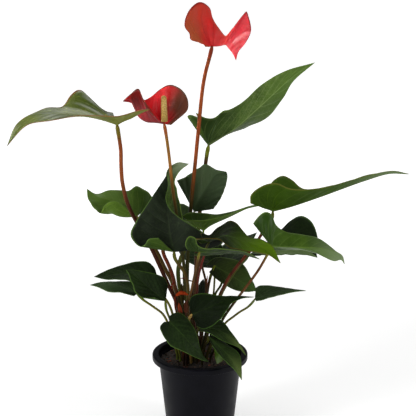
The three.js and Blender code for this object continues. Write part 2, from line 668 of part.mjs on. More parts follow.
// The pot: a tapering wall, a flat rim turned down outside, and drain holes off the centre
const rimRadius = RIM_DIAMETER / 2;
const mouthRadius = rimRadius - RIM_WIDTH;
const baseRadius = BASE_DIAMETER / 2;
const shoulder = POT_HEIGHT - RIM_DEPTH;

// The small steps and rounded edges of its section
const CORNER = 1;
const NECK = { inset: 0.8, drop: 1.5, flare: 0.6 };
const RIM_PLATE = 2.2;
const RIM_SKIRT = 1.8;
const RIM_ROUND = { width: 1.2, height: 1.4 };
const SKIRT_ROUND = { width: 0.3, height: 0.6 };
const MOUTH_ROUND = { width: 0.2, height: 0.8 };
const DRAIN_SIDES = 16;

function potSolid() {
  const profile = [
    [0, 0], [baseRadius - CORNER, 0], [baseRadius, CORNER],
    [mouthRadius - NECK.inset, shoulder - NECK.drop], [mouthRadius + NECK.flare, shoulder],
    [mouthRadius + NECK.inset, POT_HEIGHT - RIM_PLATE], [rimRadius - RIM_SKIRT, POT_HEIGHT - RIM_PLATE],
    [rimRadius - RIM_SKIRT, shoulder], [rimRadius - SKIRT_ROUND.width, shoulder],
    [rimRadius, shoulder + SKIRT_ROUND.height], [rimRadius, POT_HEIGHT - RIM_ROUND.height],
    [rimRadius - RIM_ROUND.width, POT_HEIGHT],
    [mouthRadius + MOUTH_ROUND.width, POT_HEIGHT],
    [mouthRadius - NECK.inset, POT_HEIGHT - MOUTH_ROUND.height],
    [mouthRadius - CORNER, shoulder], [mouthRadius - WALL - CORNER, shoulder - 2 * CORNER],
    [baseRadius - WALL, FLOOR + CORNER], [baseRadius - WALL - CORNER, FLOOR], [0, FLOOR],
  ].map(([radius, height]) => new THREE.Vector2(radius, height));
  let solid = solidOf(new THREE.LatheGeometry(profile, POT_SIDES).rotateX(Math.PI / 2));
  for (let i = 0; i < DRAIN_HOLES; i += 1) {
    const turn = (2 * Math.PI * i) / DRAIN_HOLES;
    const hole = new THREE.CylinderGeometry(DRAIN_RADIUS, DRAIN_RADIUS, 4 * FLOOR, DRAIN_SIDES);
    hole.rotateX(Math.PI / 2);
    hole.translate(DRAIN_CIRCLE * Math.cos(turn), DRAIN_CIRCLE * Math.sin(turn), 0);
    solid = solid.subtract(solidOf(hole));
  }
  return solid;
}

// The peat fills the pot to just below the rim, with a plain hole for every stem
const WALL_GAP = 1;
const SOIL_CORNER = { width: 2, height: 3 };
const CROWN_RINGS = { outer: 0.7, inner: 0.3 };
const STEM_HOLE_SIDES = 8;

function soilSolid(stems) {
  const wallAt = (height) => THREE.MathUtils.lerp(
    baseRadius - WALL, mouthRadius - WALL - CORNER, (height - FLOOR) / (shoulder - 2 * CORNER - FLOOR));
  const bottom = FLOOR + 2 * CLEARANCE;
  const side = bottom + SOIL_CORNER.height;
  const profile = [
    [0, bottom], [wallAt(bottom) - SOIL_CORNER.width, bottom], [wallAt(side) - WALL_GAP, side],
    [wallAt(SOIL_LEVEL) - WALL_GAP, SOIL_LEVEL],
    [CROWN_RINGS.outer * mouthRadius, SOIL_LEVEL + SOIL_CROWN / 2],
    [CROWN_RINGS.inner * mouthRadius, SOIL_LEVEL + SOIL_CROWN], [0, SOIL_LEVEL + SOIL_CROWN],
  ].map(([radius, height]) => new THREE.Vector2(radius, height));
  let solid = solidOf(new THREE.LatheGeometry(profile, POT_SIDES).rotateX(Math.PI / 2));
  for (const { part, size } of stems) solid = solid.subtract(footHole(part, size));
  return solid;
}

function footHole(part, size) {
  const [x, y] = part.foot;
  const radius = footRadius(part, size) + HOLE_SLACK;
  const depth = STEM_ROOT + CLEARANCE;
  const hole = new THREE.CylinderGeometry(radius, radius, 2 * depth, STEM_HOLE_SIDES).rotateX(Math.PI / 2);
  return solidOf(hole.translate(x, y, SOIL_LEVEL));
}

// ---------------------------------------------------------------- the assembly

const matte = (colour, roughness = 0.6) => (
  new THREE.MeshStandardMaterial({ color: colour, roughness, metalness: 0 }));
const plant = new THREE.Group();

function place(name, solid, material) {
  const mesh = new THREE.Mesh(geometryOf(solid), material);
  mesh.name = name;
  plant.add(mesh);
}

const stems = [
  ...Object.values(LEAVES).map((part) => ({ part, size: LEAF_STALK })),
  ...Object.values(FLOWERS).map((part) => ({ part, size: FLOWER_STALK })),
  ...Object.values(SHEATHS).map((part) => ({ part, size: SHEATH_STALK })),
];
place('pot', potSolid(), matte(0x1c1e24, 0.5));
place('soil', soilSolid(stems), matte(0x2a1c14, 1));
for (const [name, part] of Object.entries(LEAVES)) {
  place(name, bladeOnStalk(part, LEAF_STALK), matte(part.bladeColour, 0.45));
}
for (const [name, part] of Object.entries(SHEATHS)) {
  place(name, bladeOnStalk(part, SHEATH_STALK), matte(part.bladeColour, 0.8));
}
for (const [name, part] of Object.entries(FLOWERS)) {
  place(`flower_${name}`, bladeOnStalk(part, FLOWER_STALK, LARGE_BLADE), matte(0xc01c26, 0.3));
  place(`spadix_${name}`, solidOf(spadixGeometry(part.spadix)), matte(0xc8a860, 0.7));
}

export default plant;
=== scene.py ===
import math
import random

import bpy
import numpy as np
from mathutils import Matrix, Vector, noise


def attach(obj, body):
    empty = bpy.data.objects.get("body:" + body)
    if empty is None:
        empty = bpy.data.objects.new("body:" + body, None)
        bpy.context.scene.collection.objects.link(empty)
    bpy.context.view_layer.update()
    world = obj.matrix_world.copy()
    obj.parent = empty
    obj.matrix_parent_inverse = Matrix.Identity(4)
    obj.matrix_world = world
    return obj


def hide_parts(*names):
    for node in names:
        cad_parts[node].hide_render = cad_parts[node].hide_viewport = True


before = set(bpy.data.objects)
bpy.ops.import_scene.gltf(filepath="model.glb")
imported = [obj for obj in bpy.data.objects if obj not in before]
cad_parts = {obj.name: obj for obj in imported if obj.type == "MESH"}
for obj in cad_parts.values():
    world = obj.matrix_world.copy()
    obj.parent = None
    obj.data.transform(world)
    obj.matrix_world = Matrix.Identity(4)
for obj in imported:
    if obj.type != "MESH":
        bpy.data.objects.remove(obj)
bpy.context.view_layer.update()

# ---------------------------------------------------------------- sizes, as in the solids, in mm

RIM_DIAMETER = 130
POT_HEIGHT = 118
BASE_DIAMETER = 90
RIM_DEPTH = 8
RIM_WIDTH = 8
WALL = 1.6
FLOOR = 2.4
DRAIN_HOLES = 6
DRAIN_RADIUS = 5
DRAIN_CIRCLE = 28
SOIL_LEVEL = 107
SOIL_CROWN = 2
STEM_ROOT = 22
STEM_RISE = 8
BLADE_THICKNESS = 0.8
SPADIX_LENGTH = 34
SPADIX_RADIUS = 4.2

# Each point of the plant is [across, down, depth]: where it is seen in a square view that is
# VIEW_SIZE steps wide, and its depth away from the viewer in mm. The pot's rim is RIM_STEPS wide.
VIEW_SIZE = 416
VIEW_CENTRE = VIEW_SIZE / 2
VIEW_FOCAL = 1100
VIEW_PITCH = math.radians(14.1)
RIM_STEPS = 95.2
RIM_SEEN = (200, 352)

step_size = RIM_DIAMETER / RIM_STEPS
forward = np.array([0, math.cos(VIEW_PITCH), -math.sin(VIEW_PITCH)])
upward = np.array([0, math.sin(VIEW_PITCH), math.cos(VIEW_PITCH)])
sideways = np.array([1.0, 0, 0])
eye = (
    np.array([0, 0, POT_HEIGHT])
    - forward * VIEW_FOCAL * step_size
    + upward * (RIM_SEEN[1] - VIEW_CENTRE) * step_size
    + sideways * (VIEW_CENTRE - RIM_SEEN[0]) * step_size
)


def seen(point):
    """The place in mm of a point given as it is seen."""
    across, down, depth = point
    ray = forward * VIEW_FOCAL + sideways * (across - VIEW_CENTRE) + upward * (VIEW_CENTRE - down)
    return ray * (depth - eye[1]) / ray[1] + eye


# ---------------------------------------------------------------- curves and meshes


class ThroughPoints:
    """A smooth curve through points, followed by the share of its length."""

    PER_SPAN = 40

    def __init__(self, points):
        points = np.array(points, float)
        before = 2 * points[0] - points[1]
        after = 2 * points[-1] - points[-2]
        run = np.vstack([before, points, after])
        spans = [self.span(*run[i : i + 4]) for i in range(len(points) - 1)]
        self.line = np.vstack([*spans, points[-1:]])
        steps = np.linalg.norm(np.diff(self.line, axis=0), axis=1)
        self.reached = np.concatenate([[0], np.cumsum(steps)])
        self.length = self.reached[-1]

    def span(self, a, b, c, d):
        gaps = [max(np.linalg.norm(q - p), 1e-4) ** 0.5 for p, q in ((a, b), (b, c), (c, d))]
        leave = (b - a) / gaps[0] - (c - a) / (gaps[0] + gaps[1]) + (c - b) / gaps[1]
        arrive = (c - b) / gaps[1] - (d - b) / (gaps[1] + gaps[2]) + (d - c) / gaps[2]
        leave, arrive = leave * gaps[1], arrive * gaps[1]
        t = np.linspace(0, 1, self.PER_SPAN, endpoint=False)[:, None]
        return (
            b
            + leave * t
            + (-3 * b + 3 * c - 2 * leave - arrive) * t**2
            + (2 * b - 2 * c + leave + arrive) * t**3
        )

    def at(self, share):
        """Points at an array of shares of the length."""
        where = np.clip(share, 0, 1) * self.length
        return np.stack([np.interp(where, self.reached, self.line[:, k]) for k in range(3)], -1)

    def along(self, share, reach=0.004):
        step = self.at(np.asarray(share) + reach) - self.at(np.asarray(share) - reach)
        return step / np.maximum(np.linalg.norm(step, axis=-1, keepdims=True), 1e-9)


def unit(v):
    return v / np.maximum(np.linalg.norm(v, axis=-1, keepdims=True), 1e-9)


class Shape:
    """Points in mm, faces with a material and a pair of face coordinates at each corner."""

    def __init__(self):
        self.points = []
        self.faces = []
        self.places = []
        self.materials = []

    def add(self, points, faces, places, material=0):
        base = len(self.points)
        self.points.extend(tuple(p) for p in points)
        for face, place in zip(faces, places):
            self.faces.append([base + i for i in face])
            self.places.append(place)
            self.materials.append(material)

    def add_rings(self, rings, at, material=0):
        """Joins rings of points into a closed skin. at holds each ring's pair of face coordinates."""
        sides = len(rings[0])
        last = len(rings) * sides - sides
        faces = [list(range(sides - 1, -1, -1)), list(range(last, last + sides))]
        places = [[at[0]] * sides, [at[-1]] * sides]
        for i, (here, there) in enumerate(zip(at, at[1:])):
            for k in range(i * sides, i * sides + sides):
                nxt = k + 1 if (k + 1) % sides else k + 1 - sides
                faces.append([k, nxt, nxt + sides, k + sides])
                places.append([here, here, there, there])
        self.add([point for ring in rings for point in ring], faces, places, material)

    def made(self, name, materials, smooth=True):
        mesh = bpy.data.meshes.new(name)
        mesh.from_pydata([(x / 1000, y / 1000, z / 1000) for x, y, z in self.points], [], self.faces)
        layer = mesh.uv_layers.new(name="place")
        flat = [value for place in self.places for corner in place for value in corner]
        layer.data.foreach_set("uv", flat)
        for material in materials:
            mesh.materials.append(material)
        mesh.polygons.foreach_set("material_index", self.materials)
        mesh.polygons.foreach_set("use_smooth", [smooth] * len(mesh.polygons))
        mesh.validate()
        mesh.update()
        piece = bpy.data.objects.new(name, mesh)
        bpy.context.collection.objects.link(piece)
        return piece


def stand_for(piece, node):
    """The piece rides on the plant's one body and takes the place of a node of the solids."""
    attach(piece, "root")
    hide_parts(node)
    return piece


# ---------------------------------------------------------------- blades

LOBE_SHARE = 0.3
VEINS = 11
# A side vein runs this far forward along the blade on its way to the margin, and this much more
# as it bends
VEIN_SWEEP, VEIN_BEND = 0.075, 0.045
# Narrower than these, in mm, the blade quilts and waves less
QUILT_WIDTH, WAVE_WIDTH = 25, 20


def profile(values, share):
    """Values spread evenly over the share, joined by straight lines."""
    return np.interp(share, np.linspace(0, 1, len(values)), values)


def blade_half(part, half, rows, columns, quilt, wave):
    """A grid of points, rows along the margin and columns from the midrib out to it."""
    tip = part["midrib"][-1]
    midrib = ThroughPoints([seen(p) for p in part["midrib"]])
    margin = ThroughPoints([seen(p) for p in [*part[half], tip]])
    share = np.linspace(0, 1, rows + 1)
    run = np.maximum(0, (share - LOBE_SHARE) / (1 - LOBE_SHARE))
    rib = midrib.at(run)
    reach = margin.at(share) - rib
    lift = unit(np.cross(midrib.along(run), reach)) * (1 if half == "left" else -1)
    belly = profile(part.get("belly", {}).get(half, [0, 0]), share)
    across = np.linspace(0, 1, columns + 1)
    width = np.linalg.norm(reach, axis=1)
    sweep = VEIN_SWEEP * across + VEIN_BEND * across**2
    veins = (share[:, None] - sweep[None, :]) * part.get("veins", VEINS)
    pillow = np.cos(2 * math.pi * veins) * np.sin(math.pi * across) ** 0.7
    ruffle = np.sin(2 * math.pi * (share * wave[1] + wave[2])) * (share * (1 - share) * 4) ** 0.5
    rise = (
        belly[:, None] * np.sin(math.pi * across)
        + quilt * np.minimum(1, width / QUILT_WIDTH)[:, None] * pillow
        + wave[0] * ruffle[:, None] * across**2 * np.minimum(1, width / WAVE_WIDTH)[:, None]
    )
    return (
        rib[:, None, :]
        + reach[:, None, :] * across[None, :, None]
        + lift[:, None, :] * rise[:, :, None]
    )


def blade_shape(part, rows=66, columns=12, quilt=0.35, wave=(0.7, 5, 0.3), thickness=BLADE_THICKNESS):
    """A blade of even thickness: material 0 on its upper side, 1 below."""
    known, points, faces, places = {}, [], [], []

    def index(point):
        key = tuple(np.round(point, 3))
        if key not in known:
            known[key] = len(points)
            points.append(point)
        return known[key]

    for half in ("left", "right"):
        grid = blade_half(part, half, rows, columns, quilt, wave)
        ids = [[index(point) for point in row] for row in grid]
        sign = 1 if half == "left" else -1
        for i in range(rows):
            for j in range(columns):
                ring = [(i, j), (i + 1, j), (i + 1, j + 1), (i, j + 1)]
                if half == "right":
                    ring.reverse()
                face, place = [], []
                for r, c in ring:
                    if ids[r][c] not in face:
                        face.append(ids[r][c])
                        place.append((r / rows, 0.5 + sign * c / columns / 2))
                if len(face) > 2:
                    faces.append(face)
                    places.append(place)
    points = np.array(points)
    normals = np.zeros_like(points)
    for face in faces:
        a, b, c = points[face[0]], points[face[1]], points[face[2]]
        normal = np.cross(b - a, c - a)
        if len(face) == 4:
            normal = normal + np.cross(c - a, points[face[3]] - a)
        normals[face] += normal
    normals = unit(normals)
    open_edges = {}
    for face, place in zip(faces, places):
        for k in range(len(face)):
            p, q = face[k], face[(k + 1) % len(face)]
            if (q, p) in open_edges:
                del open_edges[(q, p)]
            else:
                open_edges[(p, q)] = (place[k], place[(k + 1) % len(face)])
    count = len(points)
    shape = Shape()
    shape.add([*(points + normals * thickness / 2), *(points - normals * thickness / 2)], [], [])
    shape.faces = [*faces, *[[i + count for i in reversed(face)] for face in faces]]
    shape.places = [*places, *[list(reversed(place)) for place in places]]
    shape.materials = [0] * len(faces) + [1] * len(faces)
    for (p, q), (here, there) in open_edges.items():
        shape.faces.append([q, p, p + count, q + count])
        shape.places.append([there, here, here, there])
        shape.materials.append(0)
    return shape


# ---------------------------------------------------------------- stalks

STALK_SIDES = 12
KNEE_LENGTH = 15
KNEE_SWELL = 0.25
# The tube's first ring is set back by KNOB_LENGTH mm and drawn in, which rounds its end
KNOB_LENGTH, KNOB_SHARE = 0.8, 0.6
# Over this last share of its length a stalk widens by CLASP mm into the base that clasps the clump
CLASP_SHARE, CLASP = 0.18, 0.5


def stalk_route(part):
    x, y = part["foot"]
    return [seen(p) for p in [part["midrib"][0], *part["stalk"]]] + [
        np.array([x, y, SOIL_LEVEL + STEM_RISE]),
        np.array([x, y, SOIL_LEVEL - STEM_RISE / 2]),
        np.array([x, y, SOIL_LEVEL - STEM_ROOT]),
    ]


def tube(shape, route, radius_at, material, sides=STALK_SIDES, spacing=4, knob=True):
    """A round tube along a route. Its face coordinates are the lengths to both ends, in dm."""
    curve = ThroughPoints(route)
    share = np.linspace(0, 1, max(4, int(curve.length / spacing)) + 1)
    rings, at, side = [], [], np.array([1.0, 0, 0])
    for reached, centre, along in zip(share * curve.length, curve.at(share), curve.along(share)):
        side = unit(side - along * side.dot(along))
        other = np.cross(along, side)
        radius = radius_at(reached, curve.length)
        if knob and not rings:
            centre, radius = centre - along * KNOB_LENGTH, radius * KNOB_SHARE
        turns = np.linspace(0, 2 * math.pi, sides, endpoint=False)
        rings.append([centre + radius * (math.cos(turn) * side + math.sin(turn) * other) for turn in turns])
        at.append((reached / 100, (curve.length - reached) / 100))
    shape.add_rings(rings, at, material)


def stalk_radius(top, spread=0.3, knee=KNEE_SWELL):
    def at(reached, length):
        share = reached / length
        swell = knee * math.exp(-(((reached - KNEE_LENGTH / 2) / (KNEE_LENGTH / 2)) ** 2))
        clasp = CLASP * max(0.0, share - 1 + CLASP_SHARE) / CLASP_SHARE
        return top + spread * share + swell + clasp

    return at

# ---------------------------------------------------------------- materials


def tint(code, share=1.0):
    """A colour as a screen shows it, written rrggbb, or a share of it, as the renderer's own values."""
    values = [int(code[k : k + 2], 16) * share / 255 for k in (0, 2, 4)]
    return (*(v / 12.92 if v < 0.0404 else ((v + 0.055) / 1.055) ** 2.4 for v in values), 1)


def tints(codes):
    return [None if code == "-" else tint(code) for code in codes.split()]


class Nodes:
    """A material's node graph, written as a sum of small steps."""

    def __init__(self, name):
        self.material = bpy.data.materials.new(name)
        self.material.use_nodes = True
        self.tree = self.material.node_tree
        self.shader = self.tree.nodes["Principled BSDF"]

    def node(self, kind, **settings):
        made = self.tree.nodes.new(kind)
        for key, value in settings.items():
            setattr(made, key, value)
        return made

    def put(self, value, socket):
        if isinstance(value, bpy.types.NodeSocket):
            self.tree.links.new(value, socket)
        else:
            socket.default_value = value

    def math(self, operation, *values):
        made = self.node("ShaderNodeMath", operation=operation)
        for value, socket in zip(values, made.inputs):
            self.put(value, socket)
        return made.outputs[0]

    def times(self, a, b):
        return self.math("MULTIPLY", a, b)

    def band(self, value, start, end, low=0.0, high=1.0):
        """Goes smoothly from low to high while value goes from start to end."""
        made = self.node("ShaderNodeMapRange", interpolation_type="SMOOTHSTEP", clamp=True)
        names = ("Value", "From Min", "From Max", "To Min", "To Max")
        for key, given in zip(names, (value, start, end, low, high)):
            self.put(given, made.inputs[key])
        return made.outputs["Result"]

    def mix(self, share, a, b, blend="MIX"):
        made = self.node("ShaderNodeMix", data_type="RGBA", blend_type=blend)
        self.put(share, made.inputs[0])
        self.put(a, made.inputs[6])
        self.put(b, made.inputs[7])
        return made.outputs[2]

    def place(self):
        """The two face coordinates."""
        made = self.node("ShaderNodeSeparateXYZ")
        self.tree.links.new(self.node("ShaderNodeUVMap", uv_map="place").outputs[0], made.inputs[0])
        return made.outputs[0], made.outputs[1]

    def where(self):
        return self.node("ShaderNodeTexCoord").outputs["Object"]

    def noise(self, scale, detail=3.0, roughness=0.55, stretch=None, seed=0.0):
        vector = self.where()
        if stretch or seed:
            moved = self.node("ShaderNodeMapping")
            moved.inputs["Scale"].default_value = stretch or (1, 1, 1)
            moved.inputs["Location"].default_value = (seed, seed * 1.7, seed * 0.6)
            self.tree.links.new(vector, moved.inputs[0])
            vector = moved.outputs[0]
        made = self.node("ShaderNodeTexNoise")
        self.tree.links.new(vector, made.inputs["Vector"])
        for key, value in (("Scale", scale), ("Detail", detail), ("Roughness", roughness)):
            made.inputs[key].default_value = value
        return made.outputs["Fac"]

    def cells(self, scale, feature="DISTANCE_TO_EDGE", seed=0.0):
        moved = self.node("ShaderNodeMapping")
        moved.inputs["Location"].default_value = (seed, seed, seed)
        self.tree.links.new(self.where(), moved.inputs[0])
        made = self.node("ShaderNodeTexVoronoi", feature=feature)
        self.tree.links.new(moved.outputs[0], made.inputs["Vector"])
        made.inputs["Scale"].default_value = scale
        return made.outputs["Distance"]

    def ramp(self, value, stops):
        made = self.node("ShaderNodeValToRGB")
        elements = made.color_ramp.elements
        while len(elements) < len(stops):
            elements.new(0.5)
        for element, (at, colour) in zip(elements, stops):
            element.position = at
            element.color = colour
        self.put(value, made.inputs[0])
        return made.outputs[0]

    def bump(self, *layers):
        """Layers of (height, strength, distance in mm), one on the other."""
        normal = None
        for height, strength, distance in layers:
            made = self.node("ShaderNodeBump")
            made.inputs["Strength"].default_value = strength
            made.inputs["Distance"].default_value = distance / 1000
            self.put(height, made.inputs["Height"])
            if normal is not None:
                self.tree.links.new(normal, made.inputs["Normal"])
            normal = made.outputs[0]
        self.tree.links.new(normal, self.shader.inputs["Normal"])

    def finish(self, colour, roughness, **constants):
        self.put(colour, self.shader.inputs["Base Color"])
        self.put(roughness, self.shader.inputs["Roughness"])
        for key, value in constants.items():
            self.shader.inputs[key.replace("_", " ")].default_value = value
        return self.material


def vein_masks(n, veins, width):
    """The run, the share of the way to the margin, and where the veins and the rim lie, 0 to 1."""
    run, offset = n.place()
    across = n.times(n.math("ABSOLUTE", n.math("SUBTRACT", offset, 0.5)), 2.0)
    sweep = n.math("ADD", n.times(across, VEIN_SWEEP), n.times(n.times(across, across), VEIN_BEND))
    phase = n.times(n.math("SUBTRACT", run, sweep), float(veins))
    between = n.math("ABSOLUTE", n.math("SUBTRACT", n.math("FRACT", phase), 0.5))
    side = n.band(between, 0.5 - width, 0.5)
    fade = n.band(across, 0.97, 0.55)
    side = n.times(side, n.math("ADD", n.times(fade, 0.75), 0.25))
    midrib = n.times(n.band(across, 0.055, 0.015), n.band(run, 0.26, 0.32))
    joint = n.times(n.band(across, 0.14, 0.02), n.band(run, 0.38, 0.30))
    marginal = n.band(n.math("ABSOLUTE", n.math("SUBTRACT", across, 0.93)), 0.018, 0.004)
    rim = n.band(across, 0.95, 0.985)
    return run, across, side, midrib, joint, marginal, rim


def leaf_material(
    name, face, deep, vein, rim, tip, gloss, vein_share, tip_from=(0.55, 0.98), painted_light_halves=(), upper=True
):
    """A leaf's upper or under side. gloss is its roughness, coat and specular level."""
    rough, coat, spec = gloss
    n = Nodes(name)
    run, across, side, midrib, joint, marginal, rim_mask = vein_masks(n, VEINS, 0.075)
    clouds = n.band(n.noise(28, 4, seed=len(name)), 0.3, 0.7)
    colour = n.mix(clouds, deep, face)
    fine = n.band(n.noise(420, 3), 0.35, 0.75)
    colour = n.mix(n.times(fine, 0.16), colour, vein)
    # Painted light: one half of the blade is painted a lighter colour, for the light that half catches
    for code, start, end in painted_light_halves:
        _, offset = n.place()
        colour = n.mix(n.times(n.band(offset, start, end), 0.85), colour, tint(code))
    if tip:
        colour = n.mix(n.band(run, *tip_from), colour, tip)
    if upper:
        colour = n.mix(n.band(run, 0.5, 0.12), colour, deep)
    soft_side = n.times(side, vein_share)
    colour = n.mix(soft_side, colour, vein)
    lines = n.math("MAXIMUM", midrib, n.times(joint, 0.85))
    colour = n.mix(n.times(lines, min(1.0, vein_share * 1.6)), colour, vein)
    colour = n.mix(n.times(marginal, vein_share * 0.45), colour, vein)
    colour = n.mix(n.times(rim_mask, 0.8), colour, rim)
    net = n.cells(620, seed=2)
    relief = n.math("MAXIMUM", n.math("MAXIMUM", side, midrib), n.times(marginal, 0.6))
    n.bump(
        (relief, 0.35, -0.5 if upper else 0.7),
        (n.band(net, 0.0, 0.12), 0.10 if upper else 0.18, 0.25),
        (n.noise(900, 2), 0.08, 0.2),
    )
    roughness = n.math("ADD", rough, n.times(n.band(n.noise(60, 3, seed=4), 0.3, 0.7), 0.14))
    return n.finish(colour, roughness, Coat_Weight=coat, Coat_Roughness=0.18, Specular_IOR_Level=spec)


def stalk_material(name, knee, upper, middle, foot, foot_from):
    """A mottled stalk whose colour runs from the knee under its blade down to its foot."""
    n = Nodes(name)
    from_joint, from_foot = n.place()
    mottled = n.band(n.noise(150, 4, stretch=(1, 1, 0.12), seed=3), 0.35, 0.7)
    colour = n.mix(mottled, upper, middle)
    colour = n.mix(n.band(from_foot, *foot_from), colour, foot)
    colour = n.mix(n.band(from_joint, 0.24, 0.08), colour, knee)
    ring = n.band(n.math("ABSOLUTE", n.math("SUBTRACT", from_joint, 0.175)), 0.014, 0.004)
    colour = n.mix(n.times(ring, 0.35), colour, foot)
    flecks = n.band(n.noise(700, 2, seed=6), 0.62, 0.72)
    colour = n.mix(n.times(flecks, 0.35), colour, foot)
    n.bump((n.noise(500, 3, stretch=(1, 1, 0.06)), 0.25, 0.3))
    roughness = n.math("ADD", 0.38, n.times(mottled, 0.12))
    return n.finish(colour, roughness, Coat_Weight=0.0, Specular_IOR_Level=0.06)


SPATHE_VEINS = 9


def spathe_material(
    name, codes, upper=True, rough=0.24, coat=0.45, spec=0.3, shade=None, turned=None, wrinkle=1.2
):
    """A spathe's face or back. codes are the colours of its middle, hollows, margin and rim."""
    face, deep, edge, rim = tints(codes)
    n = Nodes(name)
    run, across, side, midrib, _, _, rim_mask = vein_masks(n, SPATHE_VEINS, 0.10)
    clouds = n.band(n.noise(34, 4, seed=1.5 if upper else 5), 0.3, 0.72)
    colour = n.mix(clouds, deep, face)
    colour = n.mix(n.times(n.band(across, 0.45, 0.98), 0.75), colour, edge)
    colour = n.mix(n.times(n.math("MAXIMUM", side, midrib), 0.4), colour, deep)
    colour = n.mix(n.times(n.band(n.noise(520, 3, seed=8), 0.4, 0.8), 0.16), colour, edge)
    if shade:
        start, end, code = shade
        _, offset = n.place()
        aged = n.times(n.band(run, start, end), n.band(offset, 0.42, 0.2))
        colour = n.mix(n.times(aged, 0.92), colour, tint(code))
    if turned:
        start, end, code, turned_rough = turned
        past = n.band(run, start, end)
        colour = n.mix(n.times(past, 0.7), colour, tint(code))
        rough = n.math("ADD", rough, n.times(past, turned_rough - rough))
    colour = n.mix(n.times(rim_mask, 0.9), colour, rim)
    relief = n.math("MAXIMUM", side, midrib)
    n.bump(
        (relief, 0.5, -0.7 if upper else 0.8),
        (n.band(n.cells(430, seed=1), 0.0, 0.16), 0.22, 0.35),
        (n.noise(150, 3, seed=9), 0.5, wrinkle),
    )
    roughness = n.math("ADD", rough, n.times(n.band(n.noise(90, 3, seed=2), 0.3, 0.7), 0.12))
    return n.finish(colour, roughness, Coat_Weight=coat, Coat_Roughness=0.1, Specular_IOR_Level=spec)


def plain_material(name, light, dark, scale, rough, bumps, **constants):
    """Two colours clouded into each other, over bumps of (scale, strength, distance in mm)."""
    n = Nodes(name)
    share = n.band(n.noise(scale, 5), 0.32, 0.68)
    n.bump(*[(n.noise(size, 4, seed=k + 1), *rest) for k, (size, *rest) in enumerate(bumps)])
    roughness = n.math("ADD", rough, n.times(share, 0.1))
    return n.finish(n.mix(share, tint(dark), tint(light)), roughness, **constants)

# ---------------------------------------------------------------- the plant

